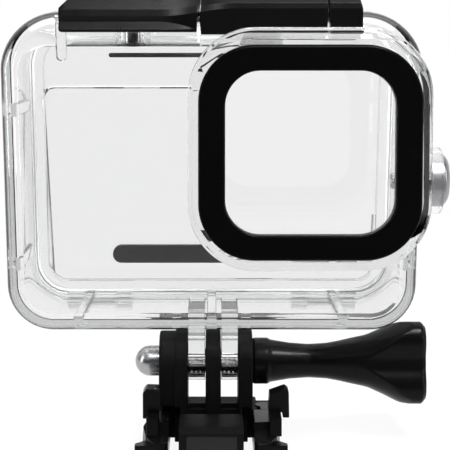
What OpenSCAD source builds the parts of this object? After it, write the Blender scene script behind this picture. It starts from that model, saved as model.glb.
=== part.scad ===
// Underwater camera housing on a quick release buckle
// X runs to the right seen from the lens side, the lens looks along -Y and Z is up
// The origin is on the buckle's flat underside, straight below the screw

/* [Front shell] */
// Width of the shell at its top
shell_top_w = 76.8; // [72:0.2:84]
// Width of the shell at its bottom
shell_bottom_w = 75.2; // [71:0.2:83]
// Height of the shell
shell_h = 58.5; // [56:0.5:64]
// Distance from the front face forward of the prong axis
front_reach = 17.5; // [16:0.5:22]
// Depth from the front face to the sealing face
shell_d = 31.5; // [29:0.5:36]
// Wall thickness of the shell
wall = 2; // [1.6:0.1:2.4]
// Radius of the upper corners
top_corner_r = 10.5; // [9:0.5:12]
// Radius of the lower corners
bottom_corner_r = 8.5; // [7:0.5:10]
// Radius of the front edge at the sides and the bottom
front_edge_r = 2.6; // [1.5:0.1:3]
// Radius of the front edge along the top
top_edge_r = 6; // [5:0.5:7]
// How far the sealing flange stands out from the shell
flange_proud = 1.2; // [0.8:0.1:1.6]
// Thickness of the sealing flange
flange_t = 3; // [2.4:0.2:4]
// Sideways offset of the shell from the middle of the prongs
housing_shift = 0.4; // [0:0.1:1]
// Width of the locating ribs inside the shell
rib_w = 2.4; // [1.6:0.2:3]
// Height of the locating ribs above the wall
rib_proud = 0.7; // [0.4:0.1:1]

/* [Lens port] */
// Middle of the port to the right of the shell's middle
port_x = 17.3; // [15:0.1:18]
// Middle of the port above the shell's underside
port_up = 34; // [33:0.5:35]
// Width of the port base
port_w = 43.2; // [42:0.2:44]
// Height of the port base
port_h = 43.2; // [42:0.2:44]
// Corner radius of the port base
port_corner_r = 12; // [10:0.5:14]
// How far the port rim stands forward of the front face
port_proud = 7.1; // [6.5:0.1:9]
// Outer width of the black frame
frame_w = 39.4; // [38:0.1:40]
// Outer height of the black frame
frame_h = 38; // [37.5:0.1:39]
// Outer corner radius of the black frame
frame_r = 10; // [9:0.5:11]
// Width of the clear window in the frame
window_w = 29.9; // [28:0.1:31]
// Height of the clear window in the frame
window_h = 28.9; // [27:0.1:30]
// Corner radius of the clear window
window_r = 6.2; // [5:0.2:7]
// Thickness of the black frame
frame_t = 2; // [1.6:0.1:2.4]
// Depth of the recess that the frame sits in
frame_seat = 0.6; // [0.4:0.1:0.8]
// Thickness of the window glass
glass_t = 2; // [1.6:0.1:2.2]
// Lip of the glass hidden behind the frame on each side
glass_lip = 2.2; // [1.8:0.1:2.6]
// Thickness of the seal behind the glass
port_seal_t = 0.8; // [0.6:0.1:1]

/* [Rear door] */
// Thickness of the door's rim
door_rim_t = 3.5; // [3:0.1:4.5]
// Thickness of the door's panel
door_panel_t = 2.1; // [1.8:0.1:2.6]
// Gap between the flange and the closed door
door_gap = 0.3; // [0.2:0.05:0.4]
// Width of the thick rim round the door
door_rim_w = 3.2; // [2.6:0.2:4]
// How far the door's plug reaches into the shell
plug_reach = 1.6; // [1.2:0.1:2]
// Side clearance of the plug in the shell
plug_gap = 0.5; // [0.4:0.05:0.7]
// Width of the screen window panel in the door
screen_w = 68.7; // [64:0.5:69]
// Height of the screen window panel
screen_h = 40; // [36:0.5:42]
// Height of the rubber rest bar along the bottom of the door
bottom_pad_h = 3.6; // [3:0.2:4]
// Height of the rubber rest bar along the top of the door
top_pad_h = 0.9; // [0.8:0.1:1.4]
// Length of the bottom rest bar
bottom_pad_w = 40.4; // [36:0.4:44]
// Length of the top rest bar
top_pad_w = 41.6; // [36:0.4:44]
// Bottom rest bar above the shell's underside
bottom_pad_up = 7.9; // [7:0.1:9]
// Top rest bar below the inside of the shell's roof
top_pad_down = 6.7; // [6:0.1:8]
// How far the rest bars stand out from the door's panel
pad_proud = 1.8; // [1.4:0.1:2.2]
// Radius of the door's hinge pins
hinge_pin_r = 0.9; // [0.7:0.05:1]
// Radius of the hinge knuckles
knuckle_r = 1.9; // [1.7:0.05:2]

/* [Top latch] */
// Length of the latch bar across the housing
latch_w = 54.8; // [53:0.2:56]
// Length of the fixed left block
bezel_w = 25; // [24:0.2:26]
// Length of the fixed right block
end_block_w = 5.7; // [5:0.1:6.5]
// Gap on each side of the moving lever
lever_gap = 0.3; // [0.25:0.05:0.5]
// How far the latch bar stands forward of the front face
latch_proud = 1.7; // [1.6:0.1:1.8]
// Height of the latch bar above the shell's top
latch_up = 4.6; // [4.5:0.1:5]
// How far the latch bar hangs below the shell's top
latch_drop = 3.65; // [3.4:0.05:3.8]
// Lever pivot behind the front face
pivot_back = 14.5; // [14:0.1:15]
// Lever pivot above the shell's top
pivot_up = 2.2; // [2.2:0.1:2.4]
// Radius of the lever's pivot pins
lever_pin_r = 0.8; // [0.6:0.05:0.9]
// Hook pivot in front of the lever pivot
hook_arm = 11.3; // [11:0.1:11.6]
// Radius of the hook's pin
hook_pin_r = 0.6; // [0.5:0.05:0.7]
// Width of the hook
hook_w = 8.4; // [7:0.2:9]
// Thickness of the hook's strap
hook_t = 1.1; // [1:0.05:1.2]
// Travel of the lock slider
lock_travel = 2.5; // [2:0.1:2.6]

/* [Buttons] */
// Shutter button to the left of the shell's middle
shutter_x = 15.2; // [15:0.1:17]
// Radius of the shutter button
shutter_r = 4; // [3.6:0.1:4.2]
// Radius of the recess round the shutter button
shutter_recess_r = 4.95; // [4.8:0.05:5.2]
// Travel of both buttons
button_travel = 1.5; // [1:0.1:1.6]
// Radius of the button stems
stem_r = 1.53; // [1.4:0.01:1.6]
// Mode button behind the front face
mode_back = 13.5; // [12:0.5:16]
// Mode button above the shell's underside
mode_up = 26.5; // [25:0.5:29]
// Radius of the clear collar round the mode button
collar_r = 6.35; // [6:0.05:6.6]
// Length of the clear collar
collar_l = 5.7; // [5.5:0.1:6.5]
// Radius of the mode button
mode_r = 5.3; // [5:0.05:5.4]
// How far the mode button stands out of the collar
mode_proud = 1.3; // [1.2:0.1:2]
// Wire thickness of the return springs
spring_wire = 0.45; // [0.4:0.05:0.5]

/* [Prongs and screw] */
// Height of the screw's axis above the underside of the buckle
axis_z = 15; // [15:0.1:16]
// Distance from the screw's axis up to the shell
axis_to_shell = 9.5; // [9.5:0.1:11]
// Radius of the black prongs' ends
prong_r = 6.2; // [6:0.1:6.6]
// Radius of the clear prongs' ends
shell_prong_r = 3.8; // [3.6:0.1:6.2]
// Thickness of each prong
prong_t = 2.9; // [2.7:0.05:3]
// Side clearance between neighbouring prongs
prong_gap = 0.12; // [0.1:0.01:0.2]
// Radius of the screw's shank
screw_r = 2.46; // [2.4:0.01:2.5]
// Running clearance of the screw in the prongs and the nut
screw_gap = 0.08; // [0.04:0.01:0.1]
// Length of the nut boss beside the prongs
boss_l = 3.1; // [2.8:0.1:3.6]
// Width of the nut across its flats
nut_flats = 8; // [7.8:0.1:8.2]
// Length of the nut's dome
dome_l = 4.8; // [4:0.1:5.5]
// Radius of the nut's dome
dome_r = 2.95; // [2.9:0.05:3.4]
// Length of the thumb knob
knob_l = 33.4; // [30:0.2:38]
// Radius of the knob at its lobes
knob_r = 8.7; // [7.5:0.1:9]
// Half the depth of the hollows between the lobes
lobe_depth = 2.1; // [1.5:0.1:2.4]
// Turn of the lobes, three times over
lobe_phase = 18; // [0:1:60]

/* [Quick release buckle] */
// Width across the buckle's rails
rail_w = 25.8; // [25:0.2:27]
// Distance from the screw's axis to the rear end of the buckle
buckle_back = 12; // [11:0.5:14]
// Distance from the screw's axis to the front end of the buckle
buckle_front = 20.5; // [20:0.5:23]
// Thickness of the rails
rail_h = 1.6; // [1.4:0.1:2]
// Width of the block above the rails
block_w = 24.4; // [24:0.2:25]
// Height of the block
block_h = 5.8; // [5.6:0.1:6.2]
// Height of the tongue between the snap arms
tongue_h = 6.8; // [6:0.1:7.2]
// Half width of the tongue
tongue_half = 5.95; // [5.5:0.05:6]
// Inner side of each snap arm from the middle
arm_inner = 7.9; // [7.8:0.1:8.1]
// Outer side of each snap arm from the middle
arm_outer = 12.2; // [12:0.1:12.6]
// Thickness of each snap arm's flexing neck
arm_neck = 1.5; // [1.2:0.1:1.8]
// Height of each snap arm behind its finger tab
arm_h = 6; // [5.6:0.1:6.2]
// Height of the snap arm's round head
head_h = 4.5; // [4.2:0.1:4.8]
// Outer side of each catch from the middle
catch_x = 14; // [13.4:0.1:14.6]
// Height of the finger tabs above the underside
tab_top = 12.9; // [12.5:0.1:13.5]

/* [Hidden] */
$fn = 48;
eps = 0.01;

front_y = -front_reach;
seal_y = front_y + shell_d;
shell_z = axis_z + axis_to_shell;
top_z = shell_z + shell_h;
cavity_bottom_z = shell_z + wall;
cavity_top_z = top_z - wall;
door_y = seal_y + door_gap;
door_back_y = door_y + door_rim_t;
running_gap = 0.06;
joint_line = 0.03;

port_z = shell_z + port_up;
frame_z = port_z - 0.5;
port_y = front_y - port_proud;
frame_back_y = port_y + frame_seat;
glass_back_y = frame_back_y + glass_t;
seat_y = glass_back_y + port_seal_t;
ledge_t = 0.8;
port_wall = 3.4;
pocket_gap = 0.15;
frame_gap = 0.1;

latch_y = front_y - latch_proud;
latch_bottom_z = top_z - latch_drop;
latch_top_z = top_z + latch_up;
pivot_y = front_y + pivot_back;
pivot_z = top_z + pivot_up;
hook_y = pivot_y - hook_arm;
hook_z = pivot_z - 0.2;
latch_x0 = -latch_w / 2;
lever_x0 = latch_x0 + bezel_w + lever_gap;
end_block_x0 = latch_w / 2 - end_block_w;
lever_x1 = end_block_x0 - lever_gap;
hook_x0 = (lever_x0 + lever_x1 - hook_w) / 2;
hook_x1 = hook_x0 + hook_w;
pivot_eye_r = 1.9;
hook_eye_r = 1.4;
strap_z = top_z + 1.4;
keeper_z = top_z - 0.4;
notch_side = 0.7;
claw_y = door_back_y + 0.3;
claw_t = 1.6;
lip_t = 1.05;
groove_z = latch_bottom_z - 1.15;

slider_y = pivot_y - 7;
slider_w = 5.4;
slider_z = pivot_z + 0.05;
slider_t = 1;
slider_gap = 0.15;
slider_x0 = lever_x1 - 6.2;
slider_x1 = lever_x1 - 0.3;

shutter_y = front_y + 17.5;
stem_bore_r = stem_r + running_gap;
shutter_boss_r = 3.4;
shutter_boss_z = cavity_top_z - 2.6;
shutter_top_z = latch_top_z - 0.7;
shutter_cap_z = top_z + 2.6;
clip_t = 0.5;
clip_r = 2.1;
oring_r = 0.4;
mode_y = front_y + mode_back;
mode_z = shell_z + mode_up;
side_x = shell_bottom_w / 2 + (shell_top_w - shell_bottom_w) / 2 * mode_up / shell_h;
collar_x = side_x + collar_l;
mode_cap_x = collar_x + mode_proud;
mode_skirt = 1.3;
inner_side_x = side_x - wall;

hinge_y = door_y + 2.2;
hinge_z = shell_z - 2.5;
hinge_x0 = 16.4;
hinge_x1 = 29.7;
hinge_side_l = 3.2;
hinge_gap = 0.25;
hinge_mid_x = (hinge_x0 + hinge_x1) / 2;
hinge_half = (hinge_x1 - hinge_x0) / 2;

flange_z0 = shell_z - flange_proud;
flange_z1 = top_z + flange_proud;
inner_prong_x = prong_t / 2 + prong_gap;
outer_prong_x = inner_prong_x + prong_t + prong_gap;
prong_end_x = outer_prong_x + prong_t;
boss_end_x = prong_end_x + boss_l;
boss_r = 5.9;
bore_r = screw_r + screw_gap;
nut_l = 3.4;
knob_x0 = prong_end_x + 0.1;
knob_x1 = knob_x0 + knob_l;
neck_x = knob_x0 + 3.3;
waist_x = knob_x0 + 11;
lobe_x = knob_x0 + 22;
pivot_arm_x = 9.9;
pivot_arm_y = 1;
arm_root_r = 1.7;
arm_front_y = -buckle_front;
arm_back_y = -2.6;
arm_lift = 0.4;
bay_back_y = -1.9;
head_y = -12.2;
tab_front_y = -13.5;
tab_back_y = -8.5;
spring_turns_shutter = 2;
spring_turns_mode = 5;

shell_colour = [0.86, 0.88, 0.88, 0.35];
black_colour = [0.09, 0.09, 0.1];
steel_colour = [0.72, 0.72, 0.72];
rubber_colour = [0.2, 0.2, 0.2];
seal_colour = [0.85, 0.86, 0.86];

// Extrudes a shape drawn in X and Z from y0 to y1
module plate_y(y0, y1) {
    translate([0, y1, 0]) rotate([90, 0, 0]) linear_extrude(y1 - y0) children();
}

// Extrudes a shape drawn in Y and Z from x0 to x1
module plate_x(x0, x1) {
    translate([x0, 0, 0]) rotate([90, 0, 90]) linear_extrude(x1 - x0) children();
}

module rod_x(x0, x1, y, z, r) {
    translate([x0, y, z]) rotate([0, 90, 0]) cylinder(r = r, h = x1 - x0);
}

module rod_z(x, y, z0, z1, r) {
    translate([x, y, z0]) cylinder(r = r, h = z1 - z0);
}

module box(x0, x1, y0, y1, z0, z1) {
    translate([x0, y0, z0]) cube([x1 - x0, y1 - y0, z1 - z0]);
}

// A rectangle with round corners about the origin
module rounded(w, h, r) {
    square([w - 2 * r, h], center = true);
    square([w, h - 2 * r], center = true);
    for (x = [-1, 1], z = [-1, 1])
        translate([x * (w / 2 - r), z * (h / 2 - r)]) circle(r = r);
}

// Everything that the shell carries stands a little left of the prongs' middle
module on_shell() {
    translate([-housing_shift, 0, 0]) children();
}

// Four corner discs of the shell's outline at one depth, drawn in by side and by top
module outline_discs(y, t, side, top) {
    rt = top_corner_r - side;
    rb = bottom_corner_r - side;
    for (s = [-1, 1]) {
        translate([s * (shell_top_w / 2 - side - rt), y, top_z - top - rt])
            rotate([-90, 0, 0]) cylinder(r = rt, h = t, $fn = 40);
        translate([s * (shell_bottom_w / 2 - side - rb), y, shell_z + side + rb])
            rotate([-90, 0, 0]) cylinder(r = rb, h = t, $fn = 40);
    }
}

// How far an edge of radius r is drawn in at the depth d behind the front face
function drawn_in(r, d) = d >= r ? 0 : r - sqrt(r * r - (r - d) * (r - d));

module shell_outside() {
    steps = 10;
    hull() {
        for (i = [0:steps]) {
            d = top_edge_r * (1 - cos(90 * i / steps));
            outline_discs(front_y + d, eps, drawn_in(front_edge_r, d), drawn_in(top_edge_r, d));
        }
        outline_discs(seal_y - eps, eps, 0, 0);
    }
}

module flange(y0, t, proud) {
    hull() outline_discs(y0, t, -proud, -proud);
}

module cavity() {
    hull() outline_discs(front_y + wall, shell_d - wall + eps, wall, wall);
}

// Openings through the latch side of the flange and the door for the hook
module hook_notch(y0, y1, z) {
    box(hook_x0 - notch_side, hook_x1 + notch_side, y0, y1, z, flange_z1 + 1);
}

module port_outside() difference() {
    translate([port_x, 0, port_z])
        plate_y(port_y, front_y + 1) rounded(port_w, port_h, port_corner_r);
    // Groove behind the port rim for the lip of the latch bar
    box(port_x - port_w, port_x + port_w, latch_y - 0.5, front_y + 2, groove_z, top_z);
}

module port_inside() {
    translate([port_x, 0, frame_z]) {
        plate_y(port_y - 1, frame_back_y)
            rounded(frame_w + 2 * frame_gap, frame_h + 2 * frame_gap, frame_r + frame_gap);
        plate_y(frame_back_y - eps, seat_y)
            rounded(window_w + 2 * glass_lip + 2 * pocket_gap, window_h + 2 * glass_lip + 2 * pocket_gap,
                window_r + glass_lip);
        plate_y(seat_y - eps, seat_y + ledge_t + eps)
            rounded(window_w + 0.8, window_h + 0.8, window_r + 0.4);
    }
    translate([port_x, 0, port_z])
        plate_y(seat_y + ledge_t, front_y + wall + eps)
            rounded(port_w - 2 * port_wall, port_h - 2 * port_wall, port_corner_r - port_wall);
}

// One clear prong of the shell, seen from the side
module shell_prong(x0) {
    plate_x(x0, x0 + prong_t) {
        translate([0, axis_z]) circle(r = shell_prong_r);
        polygon([[-shell_prong_r, axis_z], [shell_prong_r, axis_z], [prong_r + 1.6, shell_z + eps],
            [-prong_r - 1.6, shell_z + eps]]);
    }
}

module shell_ribs() {
    rib_y = front_y + wall - eps;
    upper_z = shell_z + 40.6;
    lower_z = shell_z + 12.3;
    for (s = [-1, 1], z = [upper_z, lower_z]) {
        half_w = shell_bottom_w / 2 + (shell_top_w - shell_bottom_w) / 2 * (z - shell_z) / shell_h;
        x = half_w - wall;
        box(min(s * (x + 0.4), s * (x - rib_proud)), max(s * (x + 0.4), s * (x - rib_proud)),
            rib_y, rib_y + 18, z - rib_w / 2, z + rib_w / 2);
    }
    for (x = [-24.5, 0, 24.2])
        box(x - 0.9, x + 0.9, rib_y, seal_y - 3, cavity_bottom_z - 0.4, cavity_bottom_z + rib_proud);
    box(latch_x0 - 1, latch_x0 + 1, rib_y, rib_y + 2.2, top_z - 8.8, cavity_top_z + 0.4);
}

// The two ears on the shell that carry one side of the door
module shell_knuckles() {
    for (s = [-1, 1], x = [hinge_x0, hinge_x1 - hinge_side_l])
        plate_x(min(s * x, s * (x + hinge_side_l)), max(s * x, s * (x + hinge_side_l))) {
            translate([hinge_y, hinge_z]) circle(r = knuckle_r);
            polygon([[seal_y - flange_t, flange_z0 + 0.5], [seal_y, flange_z0 + 0.5],
                [seal_y, hinge_z + 1], [hinge_y, hinge_z + knuckle_r * 0.8],
                [hinge_y, hinge_z - knuckle_r], [hinge_y - 1.2, hinge_z - knuckle_r + 0.4]]);
        }
}

module front_shell() on_shell() color(shell_colour) difference() {
    union() {
        difference() {
            union() {
                shell_outside();
                flange(seal_y - flange_t, flange_t, flange_proud);
                port_outside();
            }
            cavity();
            port_inside();
            hook_notch(seal_y - flange_t - eps, seal_y + eps, top_z);
        }
        shell_ribs();
        shell_knuckles();
        translate([housing_shift, 0, 0]) {
            shell_prong(inner_prong_x);
            shell_prong(-inner_prong_x - prong_t);
        }
        rod_z(-shutter_x, shutter_y, shutter_boss_z, cavity_top_z + eps, shutter_boss_r);
        rod_x(side_x - 0.4, collar_x, mode_y, mode_z, collar_r);
    }
    rod_x(-20, 20, 0, axis_z, bore_r);
    rod_z(-shutter_x, shutter_y, shutter_boss_z - 1, top_z + 1, stem_bore_r);
    rod_x(inner_side_x - 2, side_x + 2, mode_y, mode_z, stem_bore_r);
    rod_x(side_x, collar_x + 1, mode_y, mode_z, mode_r + 0.2);
    for (s = [-1, 1])
        rod_x(s * hinge_mid_x - hinge_half - 1, s * hinge_mid_x + hinge_half + 1,
            hinge_y, hinge_z, hinge_pin_r);
}

module hinge_pins() on_shell() color(steel_colour)
    for (s = [-1, 1])
        rod_x(s * hinge_mid_x - hinge_half + 0.1, s * hinge_mid_x + hinge_half - 0.1,
            hinge_y, hinge_z, hinge_pin_r);

module port_gasket() on_shell() color(rubber_colour) translate([port_x, 0, frame_z])
    plate_y(glass_back_y, seat_y) difference() {
        rounded(window_w + 2 * glass_lip, window_h + 2 * glass_lip, window_r + glass_lip);
        rounded(window_w + 0.8, window_h + 0.8, window_r + 0.4);
    }

module port_glass() on_shell() color([0.9, 0.95, 0.95, 0.3]) translate([port_x, 0, frame_z])
    plate_y(frame_back_y, glass_back_y)
        rounded(window_w + 2 * glass_lip, window_h + 2 * glass_lip, window_r + glass_lip);

module port_frame() on_shell() color(black_colour) translate([port_x, 0, frame_z])
    difference() {
        union() {
            plate_y(frame_back_y - frame_t, frame_back_y) rounded(frame_w - 1, frame_h - 1, frame_r - 0.5);
            plate_y(frame_back_y - frame_t + 0.5, frame_back_y) rounded(frame_w, frame_h, frame_r);
        }
        plate_y(frame_back_y - frame_t - 1, frame_back_y + 1) rounded(window_w, window_h, window_r);
    }

// The outer profile that the three pieces of the latch bar share, down to the height z0
module bar_profile(back_y, z0) {
    polygon([[latch_y, z0], [latch_y, latch_top_z - 4.2], [latch_y + 1.8, latch_top_z - 1.3],
        [latch_y + 5, latch_top_z], [back_y, latch_top_z], [back_y, z0]]);
}

// The space that the shell takes under a block of the latch bar
module shell_top_space() {
    r = top_edge_r + joint_line;
    y = front_y + top_edge_r;
    z = top_z - top_edge_r;
    plate_x(latch_x0 - 5, -latch_x0 + 5) {
        translate([y, z]) circle(r = r, $fn = 96);
        polygon([[y, z + r], [20, z + r], [20, 0], [y - r, 0], [y - r, z], [y, z]]);
    }
}

module shutter_bezel() on_shell() color(black_colour) difference() {
    intersection() {
        plate_x(latch_x0, latch_x0 + bezel_w) bar_profile(shutter_y + 7.5, latch_bottom_z);
        plate_y(latch_y - 1, shutter_y + 8) polygon([[latch_x0, latch_bottom_z + 0.4],
            [latch_x0 + 0.4, latch_bottom_z], [latch_x0 + bezel_w, latch_bottom_z],
            [latch_x0 + bezel_w, latch_top_z], [latch_x0 + 3.8, latch_top_z], [latch_x0, latch_top_z - 4.4]]);
    }
    shell_top_space();
    rod_z(-shutter_x, shutter_y, top_z - 1, latch_top_z + 1, shutter_recess_r);
    rod_x(latch_x0 + bezel_w - 4, latch_x0 + bezel_w + 1, pivot_y, pivot_z, lever_pin_r);
}

module latch_end_block() on_shell() color(black_colour) difference() {
    union() {
        plate_x(end_block_x0, end_block_x0 + end_block_w) bar_profile(pivot_y, latch_bottom_z + 0.2);
        rod_x(end_block_x0, end_block_x0 + end_block_w, pivot_y, pivot_z, pivot_up);
    }
    shell_top_space();
    rod_x(end_block_x0 - 1, end_block_x0 + 4, pivot_y, pivot_z, lever_pin_r);
    box(end_block_x0 - 1, end_block_x0 + lock_travel + 0.5, slider_y - slider_w / 2 - 0.5,
        slider_y + slider_w / 2 + 0.5, slider_z - 0.9, slider_z + slider_t + 0.3);
}

module lever_pins() on_shell() color(steel_colour) {
    rod_x(latch_x0 + bezel_w - 4, lever_x0 + 4.7, pivot_y, pivot_z, lever_pin_r);
    rod_x(lever_x1 - 4.7, end_block_x0 + 4, pivot_y, pivot_z, lever_pin_r);
}

// The skin of the lever seen from the side
module lever_skin(z0) {
    polygon([[latch_y, z0], [latch_y, latch_top_z - 4.2], [latch_y + 1.8, latch_top_z - 1.3],
        [latch_y + 5, latch_top_z], [pivot_y, pivot_z + pivot_eye_r],
        [pivot_y, pivot_z + pivot_eye_r - 0.7], [latch_y + 5, latch_top_z - 0.9],
        [latch_y + 2.6, latch_top_z - 1.9], [latch_y + lip_t, latch_top_z - 4.5], [latch_y + lip_t, z0]]);
}

// The two side arms of the lever seen from the side, clear of the shell's round edge
module lever_arm() {
    translate([pivot_y, pivot_z]) circle(r = pivot_eye_r);
    polygon([[latch_y + 0.5, top_z - 2.6], [latch_y + 0.5, latch_top_z - 4],
        [latch_y + 2.2, latch_top_z - 1.5], [latch_y + 5, latch_top_z - 0.1],
        [pivot_y, pivot_z + pivot_eye_r - 0.05],
        [pivot_y, pivot_z - pivot_eye_r], [front_y + top_edge_r, top_z + 0.8],
        [front_y + 3, top_z + 0.2], [front_y + 0.7, top_z - 1.5], [front_y - 0.5, top_z - 2.6]]);
}

module latch_lever() on_shell() color(black_colour) difference() {
    union() {
        plate_x(lever_x0, lever_x1) lever_skin(latch_bottom_z);
        plate_x(lever_x0, hook_x0 - 0.3) lever_arm();
        plate_x(hook_x1 + 0.3, lever_x1) lever_arm();
    }
    rod_x(lever_x0 - 1, lever_x0 + 5, pivot_y, pivot_z, lever_pin_r + running_gap);
    rod_x(lever_x1 - 5, lever_x1 + 1, pivot_y, pivot_z, lever_pin_r + running_gap);
    rod_x(hook_x0 - 2, hook_x1 + 2, hook_y, hook_z, hook_pin_r);
    // Slot that the hook's strap rises through as the lever opens
    box(hook_x0 - 0.3, hook_x1 + 0.3, hook_y - 1.8, pivot_y + 3, top_z, latch_top_z + 1);
    // T slot of the lock slider, open at the lever's right side
    box(slider_x0 - slider_gap, lever_x1 + 1, slider_y - slider_w / 2 - slider_gap,
        slider_y + slider_w / 2 + slider_gap, slider_z - slider_gap, slider_z + slider_t + slider_gap);
    box(slider_x0 - slider_gap, lever_x1 + 1, slider_y - slider_w / 4 - slider_gap,
        slider_y + slider_w / 4 + slider_gap, slider_z, latch_top_z + 1);
}

module hook_pin() on_shell() color(steel_colour)
    rod_x(hook_x0 - 2, hook_x1 + 2, hook_y, hook_z, hook_pin_r);

module latch_hook() on_shell() color(steel_colour) difference() {
    plate_x(hook_x0, hook_x1) {
        translate([hook_y, hook_z]) circle(r = hook_eye_r);
        polygon([[hook_y, hook_z - 0.6], [claw_y, strap_z], [claw_y, keeper_z + 0.3],
            [claw_y + claw_t * 0.4, keeper_z + 0.1], [claw_y + claw_t, keeper_z + 0.9],
            [claw_y + claw_t, strap_z + hook_t], [hook_y, hook_z + 0.5]]);
    }
    rod_x(hook_x0 - 1, hook_x1 + 1, hook_y, hook_z, hook_pin_r + running_gap);
}

module lock_slider() on_shell() color(black_colour) {
    box(slider_x0, slider_x1, slider_y - slider_w / 2, slider_y + slider_w / 2,
        slider_z, slider_z + slider_t);
    box(slider_x0 + 0.3, slider_x0 + 3.3, slider_y - slider_w / 4, slider_y + slider_w / 4,
        slider_z + slider_t - eps, latch_top_z + 0.3);
    for (i = [0:2])
        box(slider_x0 + 0.4 + i * 1.05, slider_x0 + 1 + i * 1.05, slider_y - slider_w / 4,
            slider_y + slider_w / 4, latch_top_z, latch_top_z + 0.6);
}

module ring(outer, inner, t) {
    difference() {
        cylinder(r = outer, h = t);
        translate([0, 0, -1]) cylinder(r = inner, h = t + 2);
    }
}

// A button cap with a skirt that hides the spring, its top at the height h
module button_cap(r, t, skirt) {
    difference() {
        rotate_extrude() polygon([[0, -skirt], [r, -skirt], [r, t - 0.5], [r - 0.5, t], [0, t]]);
        translate([0, 0, -skirt - 1]) cylinder(r = r - 0.7, h = skirt + 1);
        translate([0, 0, -1]) cylinder(r = stem_r * 0.7, h = 1 + t / 2);
    }
}

// A stem with a neck for its cap, a seal groove at the height seal_z and a clip groove at clip_z
module button_stem(top, neck, bottom, seal_z, clip_z) {
    rotate_extrude() polygon([[0, bottom], [stem_r - 0.3, bottom], [stem_r, bottom + 0.3],
        [stem_r, clip_z - 0.05], [stem_r * 0.7, clip_z - 0.05], [stem_r * 0.7, clip_z + clip_t + 0.05],
        [stem_r, clip_z + clip_t + 0.05], [stem_r, seal_z - oring_r - 0.05],
        [stem_r * 0.48, seal_z - oring_r - 0.05], [stem_r * 0.48, seal_z + oring_r + 0.05],
        [stem_r, seal_z + oring_r + 0.05], [stem_r, top - neck], [stem_r * 0.7, top - neck],
        [stem_r * 0.7, top], [0, top]]);
}

module stem_clip() {
    difference() {
        ring(clip_r, stem_r * 0.7 + 0.02, clip_t);
        translate([0, -stem_r * 0.5, -1]) cube([clip_r + 1, stem_r, clip_t + 2]);
    }
}

module stem_oring() {
    rotate_extrude() translate([stem_r - oring_r + 0.02, 0]) circle(r = oring_r, $fn = 24);
}

// The points of one ring of a spring's tube
function spring_point(radius, wire, length, turns, rings, sides, i, j) =
    let (a = 360 * i / rings, b = 360 * j / sides)
    [(radius + wire / 2 * cos(b)) * cos(a), (radius + wire / 2 * cos(b)) * sin(a),
        wire / 2 + (length - wire) * i / (turns * rings) + wire / 2 * sin(b)];

function spring_centre(radius, wire, length, turns, rings, i) =
    [radius * cos(360 * i / rings), radius * sin(360 * i / rings),
        wire / 2 + (length - wire) * i / (turns * rings)];

module spring(radius, wire, length, turns, label) {
    rings = 8;
    sides = 6;
    n = turns * rings;
    points = [for (i = [0:n], j = [0:sides - 1])
        spring_point(radius, wire, length, turns, rings, sides, i, j)];
    faces = concat(
        [for (i = [0:n - 1], j = [0:sides - 1])
            [i * sides + j, (i + 1) * sides + (j + 1) % sides, i * sides + (j + 1) % sides]],
        [for (i = [0:n - 1], j = [0:sides - 1])
            [i * sides + j, (i + 1) * sides + j, (i + 1) * sides + (j + 1) % sides]],
        [for (j = [1:sides - 2]) [0, j, j + 1]],
        [for (j = [1:sides - 2]) [n * sides, n * sides + j + 1, n * sides + j]]);
    gaps = [for (i = [0:n], k = [i + rings / 2:n])
        norm(spring_centre(radius, wire, length, turns, rings, i)
            - spring_centre(radius, wire, length, turns, rings, k)) - wire];
    echo(str(label, " least gap to itself in mm"), min(gaps));
    polyhedron(points = points, faces = faces);
}

shutter_spring_r = 2.5;
shutter_spring_l = shutter_cap_z - top_z - 0.1;
mode_spring_r = 3.1;
mode_floor_x = side_x;
mode_under_x = mode_cap_x - 2.2;
shutter_neck = (shutter_top_z - shutter_cap_z) / 2;
mode_neck = (mode_cap_x - mode_under_x) / 2;

module at_shutter() on_shell() translate([-shutter_x, shutter_y, 0]) children();

module at_mode() on_shell() translate([0, mode_y, mode_z]) rotate([0, 90, 0]) children();

module shutter_cap() color([0.55, 0.55, 0.56]) at_shutter()
    translate([0, 0, shutter_cap_z]) button_cap(shutter_r, shutter_top_z - shutter_cap_z, 0.9);

module shutter_stem() color(steel_colour) at_shutter()
    button_stem(shutter_cap_z + shutter_neck, shutter_neck, shutter_boss_z - clip_t - 0.7,
        cavity_top_z, shutter_boss_z - clip_t - 0.3);

module shutter_oring() color(rubber_colour) at_shutter() translate([0, 0, cavity_top_z]) stem_oring();

module shutter_clip() color(steel_colour) at_shutter()
    translate([0, 0, shutter_boss_z - clip_t - 0.3]) stem_clip();

module shutter_spring() color(steel_colour) at_shutter() translate([0, 0, top_z + 0.05])
    spring(shutter_spring_r, spring_wire, shutter_spring_l, spring_turns_shutter, "shutter spring");

module mode_cap() color([0.5, 0.5, 0.51]) at_mode()
    translate([0, 0, mode_under_x]) button_cap(mode_r, mode_cap_x - mode_under_x, mode_skirt);

module mode_stem() color(steel_colour) at_mode()
    button_stem(mode_under_x + mode_neck, mode_neck, inner_side_x - 2,
        side_x - wall / 2, inner_side_x - clip_t - 0.3);

module mode_oring() color(rubber_colour) at_mode() translate([0, 0, side_x - wall / 2]) stem_oring();

module mode_clip() color(steel_colour) at_mode()
    translate([0, 0, inner_side_x - clip_t - 0.3]) stem_clip();

module mode_spring() color(steel_colour) at_mode() translate([0, 0, mode_floor_x + 0.05])
    spring(mode_spring_r, spring_wire, mode_under_x - mode_floor_x - 0.1, spring_turns_mode, "mode spring");

// The door's outline with round corners, drawn in by inset and tall enough for its hinge
module door_outline(y0, y1, inset) {
    hull() outline_discs(y0, y1 - y0, inset, inset);
}

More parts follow.
